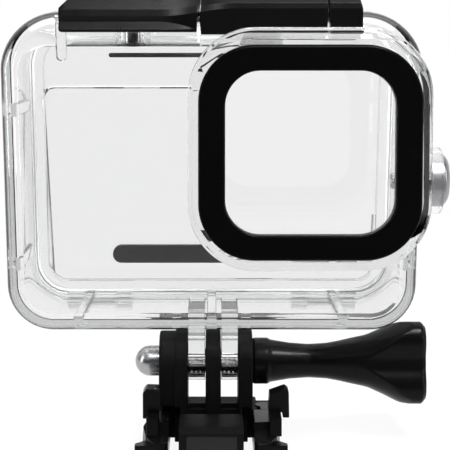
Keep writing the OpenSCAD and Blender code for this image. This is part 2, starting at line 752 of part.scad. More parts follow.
module door_knuckle(s) {
    x0 = hinge_x0 + hinge_side_l + hinge_gap;
    x1 = hinge_x1 - hinge_side_l - hinge_gap;
    plate_x(min(s * x0, s * x1), max(s * x0, s * x1)) {
        translate([hinge_y, hinge_z]) circle(r = knuckle_r);
        polygon([[hinge_y - 1.6, hinge_z], [hinge_y + 1.3, hinge_z], [hinge_y + 1.3, hinge_z + 3],
            [hinge_y - 1.9, hinge_z + 3]]);
    }
}

module rear_door() on_shell() color(shell_colour) difference() {
    union() {
        difference() {
            door_outline(door_y, door_back_y, -flange_proud);
            door_outline(door_y + door_panel_t, door_back_y + 1, door_rim_w - flange_proud);
            // Shallow step round the screen window
            translate([-0.9, 0, shell_z + 23.7]) plate_y(door_y - 1, door_y + 0.5) difference() {
                rounded(screen_w, screen_h, 2.4);
                rounded(screen_w - 0.9, screen_h - 0.9, 2);
            }
            hook_notch(door_y - 1, door_back_y + 1, keeper_z);
            for (s = [-1, 1])
                box(s * hinge_mid_x - hinge_half - hinge_gap, s * hinge_mid_x + hinge_half + hinge_gap,
                    door_y - 1, door_back_y + 1, flange_z0 - 1, hinge_z + knuckle_r + 0.4);
        }
        difference() {
            door_outline(door_y - door_gap - plug_reach, door_y + eps, wall + plug_gap);
            door_outline(door_y - door_gap - plug_reach - 1, door_y, wall + plug_gap + 1.8);
        }
        for (s = [-1, 1]) door_knuckle(s);
    }
    for (s = [-1, 1])
        rod_x(s * hinge_mid_x - hinge_half - 1, s * hinge_mid_x + hinge_half + 1,
            hinge_y, hinge_z, hinge_pin_r + running_gap);
}

module door_gasket() on_shell() color(seal_colour) difference() {
    door_outline(seal_y - 1.3, seal_y - 0.2, wall + 0.15);
    door_outline(seal_y - 2, seal_y, wall + plug_gap);
}

// A rubber rest bar with round ends on the inner side of the door
module rest_bar(w, h, z0) {
    translate([0, 0, z0 + h / 2]) plate_y(door_y - pad_proud, door_y) rounded(w, h, h / 2 - 0.02);
}

module bottom_pad() on_shell() color(rubber_colour)
    rest_bar(bottom_pad_w, bottom_pad_h, shell_z + bottom_pad_up);

module top_pad() on_shell() color(rubber_colour)
    rest_bar(top_pad_w, top_pad_h, cavity_top_z - top_pad_down);

// A black prong seen from the side
module base_prong(x0) {
    plate_x(x0, x0 + prong_t) {
        translate([0, axis_z]) circle(r = prong_r);
        polygon([[-prong_r, axis_z], [prong_r, axis_z], [prong_r + 1, block_h - 1],
            [-prong_r - 1, block_h - 1]]);
    }
}

module buckle_base() color(black_colour) difference() {
    union() {
        box(-rail_w / 2, rail_w / 2, bay_back_y, buckle_back, 0, rail_h);
        box(-block_w / 2, block_w / 2, bay_back_y, 5, 0, block_h);
        box(-tongue_half, tongue_half, arm_front_y, -prong_r - 1.6, 0, tongue_h);
        box(-prong_end_x - 1, prong_end_x + 1, -prong_r - 2, prong_r + 1.6, 0, block_h);
        box(-9, 9, 0, buckle_back - 0.5, 0, rail_h + 2);
        for (x = [-prong_end_x, -prong_t / 2, outer_prong_x]) base_prong(x);
        rod_x(-boss_end_x, -prong_end_x + eps, 0, axis_z, boss_r);
        plate_x(-boss_end_x, -prong_end_x + eps)
            polygon([[-boss_r, axis_z], [boss_r, axis_z], [boss_r, block_h - 1], [-boss_r, block_h - 1]]);
    }
    rod_x(-boss_end_x - 1, prong_end_x + 1, 0, axis_z, bore_r);
    translate([-boss_end_x - 1, 0, axis_z]) rotate([0, 90, 0])
        cylinder(r = (nut_flats + 0.1) / sqrt(3), h = nut_l + 1, $fn = 6);
    for (s = [-1, 1]) {
        box(min(s * (tongue_half - eps), s * 20), max(s * (tongue_half - eps), s * 20),
            -buckle_front - 5, bay_back_y, -1, tongue_h + 1);
        box(s * pivot_arm_x - 1.4, s * pivot_arm_x + 1.4, -3, pivot_arm_y, -1, block_h + 1);
        rod_z(s * pivot_arm_x, pivot_arm_y, -1, block_h + 1, arm_root_r + running_gap);
    }
}

module acorn_nut() color(steel_colour) {
    difference() {
        union() {
            translate([-boss_end_x, 0, axis_z]) rotate([0, 90, 0])
                cylinder(r = nut_flats / sqrt(3), h = nut_l, $fn = 6);
            rod_x(-boss_end_x - dome_l + dome_r, -boss_end_x + eps, 0, axis_z, dome_r);
            translate([-boss_end_x - dome_l + dome_r, 0, axis_z]) sphere(r = dome_r);
        }
        rod_x(-boss_end_x - 1, -boss_end_x + nut_l + 1, 0, axis_z, bore_r);
    }
}

// The arm on the right; the left one is its mirror image
module snap_arm() {
    rod_z(pivot_arm_x, pivot_arm_y, arm_lift, arm_h, arm_root_r);
    box(pivot_arm_x - arm_neck / 2, pivot_arm_x + arm_neck / 2, arm_back_y - eps, pivot_arm_y,
        arm_lift, arm_h);
    box(arm_inner, arm_outer, head_y, arm_back_y, arm_lift, arm_h);
    // Round head and the catch outside it
    translate([0, 0, arm_lift]) linear_extrude(head_h - arm_lift)
        polygon([[arm_inner, head_y + 1], [arm_inner, arm_front_y + 1], [arm_inner + 1.2, arm_front_y],
            [arm_inner + 2.4, arm_front_y + 0.2], [arm_outer - 0.5, arm_front_y + 2.6],
            [arm_outer + 0.3, arm_front_y + 6], [arm_outer, head_y + 1]]);
    translate([0, 0, arm_lift]) linear_extrude(head_h - arm_lift - 0.4)
        polygon([[arm_outer - 1.8, arm_front_y + 3], [arm_outer - 1.8, arm_front_y + 0.2],
            [catch_x, arm_front_y + 0.2], [catch_x, arm_front_y + 2], [arm_outer - 0.4, arm_front_y + 4]]);
    // Finger tab on its web
    plate_y(tab_front_y, tab_back_y) polygon([[arm_outer - 2, arm_h - eps], [arm_outer, arm_h - eps],
        [arm_outer + 0.3, tab_top - 4.4], [arm_outer + 0.6, tab_top - 4.4], [arm_outer + 0.6, tab_top - 5.5],
        [arm_outer + 1.6, tab_top - 5.5], [arm_outer + 1.7, tab_top - 0.6], [arm_outer + 1.1, tab_top],
        [arm_outer - 1.9, tab_top - 0.7]]);
}

module snap_arm_right() color(black_colour) snap_arm();

module snap_arm_left() color(black_colour) mirror([1, 0, 0]) snap_arm();

module screw_shaft() color(steel_colour) {
    rod_x(-boss_end_x + 0.2, knob_x0 + 8, 0, axis_z, screw_r);
    rod_x(knob_x0 + 3, knob_x0 + 8, 0, axis_z, screw_r + 0.6);
}

// Radius of the knob's head, a circle with three lobes
function lobe_radius(a) = knob_r - lobe_depth + lobe_depth * cos(3 * a + lobe_phase);

module thumb_knob() color(black_colour) difference() {
    union() {
        translate([0, 0, axis_z]) rotate([0, 90, 0]) rotate_extrude($fn = 96)
            polygon([[0, knob_x0], [4.3, knob_x0], [4.5, knob_x0 + 0.3], [4.5, neck_x - 0.3],
                [4.2, neck_x], [3.5, neck_x + 4], [3.25, waist_x], [3.5, waist_x + 4],
                [4.3, waist_x + 8], [4.8, lobe_x], [4.8, knob_x1 - 0.6], [4.2, knob_x1], [0, knob_x1]]);
        intersection() {
            plate_x(waist_x + 2, knob_x1) translate([0, axis_z])
                polygon([for (a = [0:5:355]) lobe_radius(a) * [cos(a), sin(a)]]);
            translate([0, 0, axis_z]) rotate([0, 90, 0]) rotate_extrude($fn = 96)
                polygon([[0, waist_x + 2], [3.2, waist_x + 2], [4.8, lobe_x], [6.4, lobe_x + 3.4],
                    [8, lobe_x + 6.6], [knob_r, lobe_x + 9], [knob_r, knob_x1 - 0.9],
                    [knob_r - 0.8, knob_x1], [0, knob_x1]]);
        }
    }
    rod_x(knob_x0 - 1, knob_x0 + 8, 0, axis_z, screw_r);
    rod_x(knob_x0 + 3, knob_x0 + 8, 0, axis_z, screw_r + 0.6);
}

buckle_base();
acorn_nut();
snap_arm_left();
snap_arm_right();
thumb_knob();
screw_shaft();
front_shell();
port_gasket();
port_glass();
port_frame();
shutter_bezel();
latch_end_block();
lever_pins();
latch_lever();
hook_pin();
latch_hook();
lock_slider();
shutter_cap();
shutter_stem();
shutter_oring();
shutter_clip();
shutter_spring();
mode_cap();
mode_stem();
mode_oring();
mode_clip();
mode_spring();
hinge_pins();
rear_door();
door_gasket();
top_pad();
bottom_pad();
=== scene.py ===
import math

import bmesh
import bpy
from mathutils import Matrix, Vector


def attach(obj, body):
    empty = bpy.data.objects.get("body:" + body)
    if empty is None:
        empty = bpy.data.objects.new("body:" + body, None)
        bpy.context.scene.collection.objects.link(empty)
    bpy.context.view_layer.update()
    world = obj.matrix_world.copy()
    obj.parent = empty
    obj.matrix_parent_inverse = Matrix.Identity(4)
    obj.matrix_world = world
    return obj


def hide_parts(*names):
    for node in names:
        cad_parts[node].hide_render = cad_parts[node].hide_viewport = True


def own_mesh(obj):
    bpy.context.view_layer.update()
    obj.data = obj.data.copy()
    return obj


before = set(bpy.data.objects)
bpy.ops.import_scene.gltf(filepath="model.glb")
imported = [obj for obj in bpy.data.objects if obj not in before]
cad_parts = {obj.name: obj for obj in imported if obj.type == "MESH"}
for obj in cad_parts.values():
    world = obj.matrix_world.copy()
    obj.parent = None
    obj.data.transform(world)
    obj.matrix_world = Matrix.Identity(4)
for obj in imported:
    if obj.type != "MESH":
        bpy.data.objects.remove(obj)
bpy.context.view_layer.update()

scene = bpy.context.scene
MM = 0.001

# Sideways offsets in millimetres from the mount's middle: the housing, and the buckle's front pieces
SHIFT = -0.4
FRONT_SHIFT = -0.5

# Places in millimetres that several pieces share
FRONT_Y = -17.5
SEAL_Y = 14.0
DOOR_Y = 14.3
DOOR_BACK_Y = 17.8
RIB_Y = -16.6
SHELL_Z = 24.5
TOP_Z = 83.0
PORT_X = 17.3 + SHIFT
PORT_Z = 58.5
FRAME_Z = 58.0
PORT_Y = -24.6
AXIS_Z = 15.0
LATCH_Y = -19.2
LATCH_TOP = 87.6
LATCH_BOTTOM = 79.17
PIVOT_Y = -3.0
PIVOT_Z = 85.2
HOOK_Y = -14.3
HOOK_Z = 85.0
HINGE_Y = 16.5
HINGE_Z = 22.0
MODE_Y = -4.0
MODE_Z = 51.0
SHUTTER_X = -15.2 + SHIFT
GLASS_Y = -24.0
GASKET_Y = -22.0
LEDGE_Y = -21.2
THROAT_Y = -20.4
FRAME_Y = -26.0

# Sizes in millimetres that several pieces share
WALL = 2.0
HINGE_X = 23.05
HINGE_R = 1.9
PRONG_R = 6.2
SCREW_BORE_R = 2.54
STEM_BORE_R = 1.59
PIVOT_BORE_R = 0.8
BOSS_END = -10.59
PRONG_END = 7.49
NUT_R = 4.61
DOME_X = -12.44
DOME_R = 2.95
TONGUE_HALF = 5.94
ARM_X = 9.9
LEVER_FOOT = LATCH_BOTTOM - 0.42

# Thumb knob, in millimetres
KNOB_START = 7.59
KNOB_END = 40.99
KNOB_R = 8.7
LOBE_DEPTH = 2.1
LOBE_TURN = math.radians(18)

# Strength of the room in front of the object, in mirrors and through clear parts
FRONT_DARK = 0.05
FRONT_GREY = 0.42


# Mesh helpers
def solid(name, verts, faces):
    mesh = bpy.data.meshes.new(name)
    mesh.from_pydata([Vector(v) * MM for v in verts], [], [list(f) for f in faces])
    work = bmesh.new()
    work.from_mesh(mesh)
    bmesh.ops.remove_doubles(work, verts=work.verts, dist=1e-7)
    bmesh.ops.recalc_face_normals(work, faces=work.faces)
    work.to_mesh(mesh)
    work.free()
    obj = bpy.data.objects.new(name, mesh)
    scene.collection.objects.link(obj)
    return obj


def loft(name, rings, caps=True, cyclic=False):
    """A skin through rings of equal length, closed by caps or back onto its first ring."""
    n = len(rings[0])
    faces = []
    last = len(rings) if cyclic else len(rings) - 1
    for i in range(last):
        a, b = i * n, ((i + 1) % len(rings)) * n
        for j in range(n):
            k = (j + 1) % n
            faces.append((a + j, a + k, b + k, b + j))
    if caps and not cyclic:
        faces.append(tuple(range(n - 1, -1, -1)))
        faces.append(tuple(range((len(rings) - 1) * n, len(rings) * n)))
    return solid(name, [p for ring in rings for p in ring], faces)


def place(axis, t, u, v):
    """A point t along an axis, and u and v across it."""
    return {"x": (t, u, v), "y": (u, t, v), "z": (u, v, t)}[axis]


def prism(name, points, axis, a, b):
    """A flat outline drawn across an axis and extruded along it from a to b."""
    return loft(name, [[place(axis, t, u, v) for u, v in points] for t in (a, b)])


def block(name, x0, x1, y0, y1, z0, z1):
    return prism(name, [(x0, y0), (x1, y0), (x1, y1), (x0, y1)], "z", z0, z1)


def revolve(name, profile, axis, u, v, steps=64):
    """A body of revolution from points (distance along the axis, radius)."""
    rings = []
    for t, r in profile:
        r = max(r, 0.001)
        rings.append([place(axis, t, u + r * math.cos(2 * math.pi * i / steps),
                            v + r * math.sin(2 * math.pi * i / steps)) for i in range(steps)])
    return loft(name, rings)


def rod(name, axis, a, b, u, v, r, steps=48):
    """A cylinder along an axis from a to b."""
    return revolve(name, [(a, r), (b, r)], axis, u, v, steps)


def rounded_path(points, steps=5):
    """Points (a, b, radius) of an open path, with each corner turned into an arc."""
    out = [points[0][:2]]
    for before, corner, after in zip(points, points[1:], points[2:]):
        c = Vector(corner[:2])
        into = (Vector(before[:2]) - c)
        away = (Vector(after[:2]) - c)
        r = corner[2] if len(corner) > 2 else 0
        if r <= 0:
            out.append(tuple(c))
            continue
        half = into.angle(away) / 2
        cut = min(r / math.tan(half), into.length * 0.49, away.length * 0.49)
        p, q = c + into.normalized() * cut, c + away.normalized() * cut
        for i in range(steps + 1):
            t = i / steps
            out.append(tuple(p * (1 - t) ** 2 + c * 2 * t * (1 - t) + q * t * t))
    out.append(points[-1][:2])
    return out


def round_polygon(points, steps=6):
    """A closed outline of (u, v, radius) with its corners turned into arcs."""
    n = len(points)
    out = []
    for i in range(n):
        path = rounded_path([points[i - 1], points[i], points[(i + 1) % n]], steps)
        out += path[1:-1]
    return out


def arc_points(u, v, r, angles):
    """Points of an arc round (u, v), at angles in degrees."""
    return [(u + r * math.cos(math.radians(a)), v + r * math.sin(math.radians(a))) for a in angles]


def span(s, near, far, shift=SHIFT):
    """Left and right end of what lies from near to far on side s."""
    return sorted((s * near + shift, s * far + shift))


def housing_block(name, x0, x1, y0, y1, z0, z1):
    return block(name, x0 + SHIFT, x1 + SHIFT, y0, y1, z0, z1)


def housing_rod(name, x0, x1, y, z, r):
    return rod(name, "x", x0 + SHIFT, x1 + SHIFT, y, z, r)


def boolean(obj, other, operation):
    mod = obj.modifiers.new("work", "BOOLEAN")
    mod.object = other
    mod.operation = operation
    mod.solver = "MANIFOLD"
    bake(obj)
    bpy.data.objects.remove(other)
    return obj


def add(obj, *others):
    for other in others:
        boolean(obj, other, "UNION")
    return obj


def cut(obj, *others):
    for other in others:
        boolean(obj, other, "DIFFERENCE")
    return obj


def bake(obj):
    """Turns a piece's modifiers into its mesh."""
    graph = bpy.context.evaluated_depsgraph_get()
    mesh = bpy.data.meshes.new_from_object(obj.evaluated_get(graph))
    obj.modifiers.clear()
    old = obj.data
    obj.data = mesh
    bpy.data.meshes.remove(old)
    return obj


def soften(obj, width, segments=3, angle=32):
    """Rounds the sharp edges of a piece."""
    mod = obj.modifiers.new("round", "BEVEL")
    mod.width = width * MM
    mod.segments = segments
    mod.limit_method = "ANGLE"
    mod.angle_limit = math.radians(angle)
    mod.miter_outer = "MITER_ARC"
    mod.use_clamp_overlap = True
    return bake(obj)


def piece(obj, body, mat, slot, *nodes, angle=34):
    """Shades a finished piece, gives it its material and puts it on its body."""
    obj.data.shade_smooth()
    obj.data.set_sharp_from_angle(angle=math.radians(angle))
    mod = obj.modifiers.new("normals", "WEIGHTED_NORMAL")
    mod.keep_sharp = True
    bake(obj)
    obj.data.materials.clear()
    obj.data.materials.append(mat)
    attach(obj, body)
    if nodes:
        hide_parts(*nodes)
    return obj


# Outlines of the housing
def corner_arcs(centres, steps):
    """Points and outward directions round four corner arcs (x, z, radius)."""
    out = []
    for quarter, (x, z, r) in enumerate(centres):
        for i in range(steps + 1):
            a = math.radians(90 * quarter + 90 * i / steps)
            n = (math.cos(a), math.sin(a))
            out.append((x + r * n[0], z + r * n[1], n))
    return out


def shell_outline(side=0.0, top=None, steps=14):
    top = side if top is None else top
    rt, rb = 10.5 - side, 8.5 - side
    xt, xb = 38.4 - side - rt, 37.6 - side - rb
    zt, zb = TOP_Z - top - rt, SHELL_Z + side + rb
    return corner_arcs([(xt, zt, rt), (-xt, zt, rt), (-xb, zb, rb), (xb, zb, rb)], steps)


def shell_ring(y, side=0.0, top=None):
    return [(x + SHIFT, y, z) for x, z, n in shell_outline(side, top)]


def edge_ring(front, side, top, r_side, r_top, inset, depth):
    """One ring of a front edge that grows from the sides to the top; inset and depth are shares of it."""
    out = []
    for x, z, n in shell_outline(side, top):
        share = max(n[1], 0.0) ** 1.5
        r = r_side + (r_top - r_side) * share
        out.append((x - n[0] * r * inset + SHIFT, front + r * depth, z - n[1] * r * inset))
    return out


def panel_ring(cx, cz, w, h, r, y, steps=12):
    x, z = w / 2 - r, h / 2 - r
    centres = [(cx + x, cz + z, r), (cx - x, cz + z, r), (cx - x, cz - z, r), (cx + x, cz - z, r)]
    arcs = corner_arcs(centres, steps)
    return [(px, y, pz) for px, pz, n in arcs]


def panel(name, cx, cz, w, h, r, y0, y1, steps=12):
    return loft(name, [panel_ring(cx, cz, w, h, r, y, steps) for y in (y0, y1)])


def port_ring(w, h, r, z=FRAME_Z):
    """Gives skin() its rounded rectangles round the lens port."""
    return lambda inset, y: panel_ring(PORT_X, z, w - 2 * inset, h - 2 * inset, r - inset, y, 16)


def port_panel(name, w, h, r, y0, y1, z=FRAME_Z):
    return panel(name, PORT_X, z, w, h, r, y0, y1, 16)


def skin(name, ring, path):
    """A closed solid through rings that ring(inset, y) gives along a path of (inset, y)."""
    return loft(name, [ring(inset, y) for inset, y in path])


# Materials
def nodes_of(name):
    mat = bpy.data.materials.new(name)
    mat.use_nodes = True
    tree = mat.node_tree
    tree.nodes.clear()
    out = tree.nodes.new("ShaderNodeOutputMaterial")
    return mat, tree, out


def noise_bump(tree, scale, strength, distance, detail=3.0):
    coords = tree.nodes.new("ShaderNodeTexCoord")
    grain = tree.nodes.new("ShaderNodeTexNoise")
    grain.inputs["Scale"].default_value = scale
    grain.inputs["Detail"].default_value = detail
    bump = tree.nodes.new("ShaderNodeBump")
    bump.inputs["Strength"].default_value = strength
    bump.inputs["Distance"].default_value = distance
    tree.links.new(coords.outputs["Object"], grain.inputs["Vector"])
    tree.links.new(grain.outputs["Fac"], bump.inputs["Height"])
    return coords, grain, bump


def plastic(name, colour, rough, specular, grain_scale, grain_strength, spread=0.08):
    """Moulded plastic, rubber or metal with a fine skin and slightly uneven gloss."""
    mat, tree, out = nodes_of(name)
    shader = tree.nodes.new("ShaderNodeBsdfPrincipled")
    shader.inputs["Base Color"].default_value = (*colour, 1)
    shader.inputs["Specular IOR Level"].default_value = specular
    coords, grain, bump = noise_bump(tree, grain_scale, grain_strength, 0.00004)
    wear = tree.nodes.new("ShaderNodeTexNoise")
    wear.inputs["Scale"].default_value = 220
    wear.inputs["Detail"].default_value = 4
    tree.links.new(coords.outputs["Object"], wear.inputs["Vector"])
    gloss = tree.nodes.new("ShaderNodeMapRange")
    gloss.inputs["To Min"].default_value = rough - spread
    gloss.inputs["To Max"].default_value = rough + spread
    tree.links.new(wear.outputs["Fac"], gloss.inputs["Value"])
    tree.links.new(gloss.outputs["Result"], shader.inputs["Roughness"])
    tree.links.new(bump.outputs["Normal"], shader.inputs["Normal"])
    tree.links.new(shader.outputs["BSDF"], out.inputs["Surface"])
    return mat


def metal(name, colour, rough, scale, strength, stretch=(1, 1, 1)):
    mat, tree, out = nodes_of(name)
    shader = tree.nodes.new("ShaderNodeBsdfPrincipled")
    shader.inputs["Base Color"].default_value = (*colour, 1)
    shader.inputs["Metallic"].default_value = 1
    coords, grain, bump = noise_bump(tree, scale, strength, 0.00003)
    lines = tree.nodes.new("ShaderNodeMapping")
    lines.inputs["Scale"].default_value = stretch
    tree.links.new(coords.outputs["Object"], lines.inputs["Vector"])
    tree.links.new(lines.outputs["Vector"], grain.inputs["Vector"])
    gloss = tree.nodes.new("ShaderNodeMapRange")
    gloss.inputs["To Min"].default_value = rough * 0.6
    gloss.inputs["To Max"].default_value = rough * 1.4
    tree.links.new(grain.outputs["Fac"], gloss.inputs["Value"])
    tree.links.new(gloss.outputs["Result"], shader.inputs["Roughness"])
    tree.links.new(bump.outputs["Normal"], shader.inputs["Normal"])
    tree.links.new(shader.outputs["BSDF"], out.inputs["Surface"])
    return mat


def clear(name, ior, density, scale, strength):
    """Clear polished plastic or glass that lets the lamps' light through and absorbs some on its way."""
    mat, tree, out = nodes_of(name)
    glass = tree.nodes.new("ShaderNodeBsdfGlass")
    glass.inputs["Color"].default_value = (1, 1, 1, 1)
    glass.inputs["IOR"].default_value = ior
    glass.inputs["Roughness"].default_value = 0.0
    coords, grain, bump = noise_bump(tree, scale, strength, 0.0001, 1.0)
    tree.links.new(bump.outputs["Normal"], glass.inputs["Normal"])
    through = tree.nodes.new("ShaderNodeBsdfTransparent")
    through.inputs["Color"].default_value = (0.97, 0.975, 0.975, 1)
    mix = tree.nodes.new("ShaderNodeMixShader")
    light = tree.nodes.new("ShaderNodeLightPath")
    tree.links.new(light.outputs["Is Shadow Ray"], mix.inputs["Fac"])
    tree.links.new(glass.outputs["BSDF"], mix.inputs[1])
    tree.links.new(through.outputs["BSDF"], mix.inputs[2])
    tree.links.new(mix.outputs["Shader"], out.inputs["Surface"])
    absorb = tree.nodes.new("ShaderNodeVolumeAbsorption")
    absorb.inputs["Color"].default_value = (0.03, 0.06, 0.06, 1)
    absorb.inputs["Density"].default_value = density
    tree.links.new(absorb.outputs["Volume"], out.inputs["Volume"])
    return mat


# Clear ones: refractive index, absorption, grain scale and strength
polycarbonate = clear("clear_polycarbonate", 1.58, 14, 45, 0.04)
optical = clear("port_glass", 1.5, 3, 30, 0.0)
# Plastics and rubber: colour, roughness, specular, grain scale and strength
black = plastic("black_satin_plastic", (0.002, 0.002, 0.0021), 0.25, 0.1, 2600, 0.12)
latch_black = plastic("black_latch_plastic", (0.0022, 0.0022, 0.0023), 0.3, 0.19, 3400, 0.3)
frame_black = plastic("black_painted_frame", (0.0013, 0.0013, 0.0014), 0.3, 0.05, 3800, 0.08)
base_black = plastic("black_base_plastic", (0.004, 0.004, 0.004), 0.5, 0.03, 3000, 0.3)
matt = plastic("black_matt_plastic", (0.009, 0.009, 0.009), 0.5, 0.2, 3000, 0.3)
rubber = plastic("black_rubber", (0.02, 0.02, 0.02), 0.6, 0.12, 5200, 0.25)
silicone = plastic("translucent_silicone", (0.72, 0.73, 0.73), 0.35, 0.4, 900, 0.05)
# Metals: colour, roughness, grain scale and strength
chrome = metal("polished_steel", (0.5, 0.5, 0.51), 0.14, 700, 0.03)
nickel = metal("brushed_nickel", (0.4, 0.4, 0.41), 0.26, 600, 0.05)
satin = metal("satin_metal", (0.33, 0.33, 0.34), 0.3, 500, 0.08, (8, 1, 1))


# Clear front shell: its rounded front edge, its outside back to the sealing flange, then its inside
quarter = [math.radians(90 * i / 8) for i in range(9)]
rings = [edge_ring(FRONT_Y, 0, 0, 2.6, 6.0, 1 - math.sin(t), 1 - math.cos(t)) for t in quarter]
outer = rounded_path([(0, -8), (0, 11.0, 0.5), (-1.2, 11.0, 0.35), (-1.2, SEAL_Y, 0.35), (WALL, SEAL_Y, 0.3),
                      (WALL, 10)], 4)
rings += [shell_ring(y, inset) for inset, y in outer]
rings += [edge_ring(FRONT_Y + WALL, WALL, WALL, 1.3, 4.4, inset, depth)
          for inset, depth in ((0, 1), (0.04, 0.7), (0.14, 0.45), (0.35, 0.25), (0.86, 0.12), (1, 0))]
shell = loft("front_shell_clear", rings)

rim = rounded_path([(0, FRONT_Y + 1), (0, PORT_Y, 0.5), (0.6, PORT_Y, 0.1), (2.4, PORT_Y + 0.65)], 6)
port = skin("port", port_ring(43.1, 43.1, 12, PORT_Z), rim)
# Room for the lever, with more of it below its lowered left foot
cut(port, block("groove", -10, 50, -19.7, FRONT_Y + 3, 78.2, 84),
    block("groove", -10, 6.5, -19.7, FRONT_Y + 3, 77.7, 84))
add(shell, port)
cut(shell, port_panel("recess", 39.6, 38.2, 10.1, PORT_Y - 1, GLASS_Y),
    port_panel("pocket", 34.6, 33.6, 8.4, GLASS_Y - 0.01, LEDGE_Y),
    port_panel("ledge", 30.7, 29.7, 6.6, LEDGE_Y - 0.01, THROAT_Y + 0.01),
    port_panel("throat", 39.6, 38.0, 10.2, THROAT_Y, -15.2, 57.7))


def plate(name, x0, x1, points, width, segments=3):
    """A flat plate across x with rounded edges."""
    return soften(prism(name, points, "x", x0, x1), width, segments)


def prong_outline(r, flare, foot):
    """A rounded prong from its foot round the screw, seen from the side."""
    away = 1 if foot < AXIS_Z else -1
    arc = [(y, AXIS_Z + away * z) for y, z in arc_points(0, 0, r, range(0, 181, 6))]
    return arc + [(-PRONG_R - flare, foot), (PRONG_R + flare, foot)]


for x0, x1 in ((1.44, 4.66), (-4.98, -1.68)):
    add(shell, plate("prong", x0, x1, prong_outline(3.8, 1.6, SHELL_Z + 0.8), 0.3, 2))
for s in (-1, 1):
    for x in (16.4, 26.5):
        ear = arc_points(HINGE_Y, HINGE_Z, HINGE_R, range(-95, 61, 9))
        ear += [(SEAL_Y, HINGE_Z + 1.2), (SEAL_Y, SHELL_Z), (11.0, SHELL_Z), (11.0, 23.6), (13.8, 22.2),
                (15.2, 20.5)]
        add(shell, plate("ear", *span(s, x, x + 3.2), ear, 0.2, 2))
for s in (-1, 1):
    for z in (65.1, 36.8):
        half = 37.6 + 0.8 * (z - SHELL_Z) / (TOP_Z - SHELL_Z) - WALL
        rib = block("rib", *span(s, half + 0.5, half - 0.7), RIB_Y, 2.5, z - 1.2, z + 1.2)
        add(shell, soften(rib, 0.3, 2))
for x in (-24.5, 0, 24.2):
    add(shell, soften(housing_block("rib", x - 0.9, x + 0.9, RIB_Y, 11, 26.0, 27.2), 0.25, 2))
tab = round_polygon([(x + SHIFT, z, r) for x, z, r in (
    (-28.5, 82, 0), (-26.5, 82, 0), (-26.3, 74.0, 0.9), (-28.1, 74.0, 0.9))])
add(shell, soften(prism("tab", tab, "y", -15.8, -13.3), 0.3, 3))
add(shell, revolve("boss", [(78.75, 3.3), (78.85, 3.4), (81.5, 3.4)], "z", SHUTTER_X, 0))
collar_path = rounded_path([(37.2 + SHIFT, 6.35), (43.67 + SHIFT, 6.35, 0.5), (43.67 + SHIFT, 5.5)], 5)
add(shell, revolve("collar", collar_path, "x", MODE_Y, MODE_Z, 72))
cut(shell, rod("bore", "x", -20, 20, 0, AXIS_Z, SCREW_BORE_R),
    rod("bore", "z", 77, 85, SHUTTER_X, 0, STEM_BORE_R),
    rod("bore", "x", 33, 40, MODE_Y, MODE_Z, STEM_BORE_R),
    rod("well", "x", 37.96 + SHIFT, 46, MODE_Y, MODE_Z, 5.5, 72),
    housing_block("notch", 4.75, 14.55, 10.98, 14.5, TOP_Z, 86))
for s in (-1, 1):
    cut(shell, housing_rod("bore", s * HINGE_X - 8, s * HINGE_X + 8, HINGE_Y, HINGE_Z, 0.9))
piece(shell, "housing", polycarbonate, "clear_plastic", "front_shell")

# Lens port frame, window and seal
frame_path = rounded_path([(0, GLASS_Y), (0, FRAME_Y, 0.7), (3.0, FRAME_Y)], 6)
frame_obj = skin("port_frame_black", port_ring(39.4, 38, 10), frame_path)
hole_path = [(0, GLASS_Y + 0.1), (0, -25.6), (-0.06, -25.82), (-0.4, FRAME_Y - 0.1), (-0.8, FRAME_Y - 0.5)]
cut(frame_obj, skin("hole", port_ring(29.9, 28.9, 6.2), hole_path))
piece(frame_obj, "housing", frame_black, "frame_black", "port_frame")
glass = soften(port_panel("port_window", 34.3, 33.3, 8.4, GLASS_Y, GASKET_Y), 0.2, 2)
piece(glass, "housing", optical, "lens_glass", "port_glass")
seal = cut(port_panel("port_seal", 34.3, 33.3, 8.4, GASKET_Y, LEDGE_Y),
           port_panel("hole", 30.7, 29.7, 6.6, GASKET_Y - 0.5, LEDGE_Y + 0.2))
piece(soften(seal, 0.15, 2), "housing", rubber, "black_rubber", "port_gasket")

# Clear rear door with its plug, rim and hinge knuckles
door_path = [(4.3, DOOR_Y)] + rounded_path(
    [(4.3, DOOR_Y + 0.2), (4.3, 12.4, 0.25), (2.5, 12.4, 0.25), (2.5, DOOR_Y, 0.15), (-1.2, DOOR_Y, 0.35),
     (-1.2, DOOR_BACK_Y, 0.6), (2.0, DOOR_BACK_Y, 0.4), (2.0, 16.4, 0.4), (3.5, 16.4)], 4)
door = skin("rear_door_clear", lambda inset, y: shell_ring(y, inset), door_path)

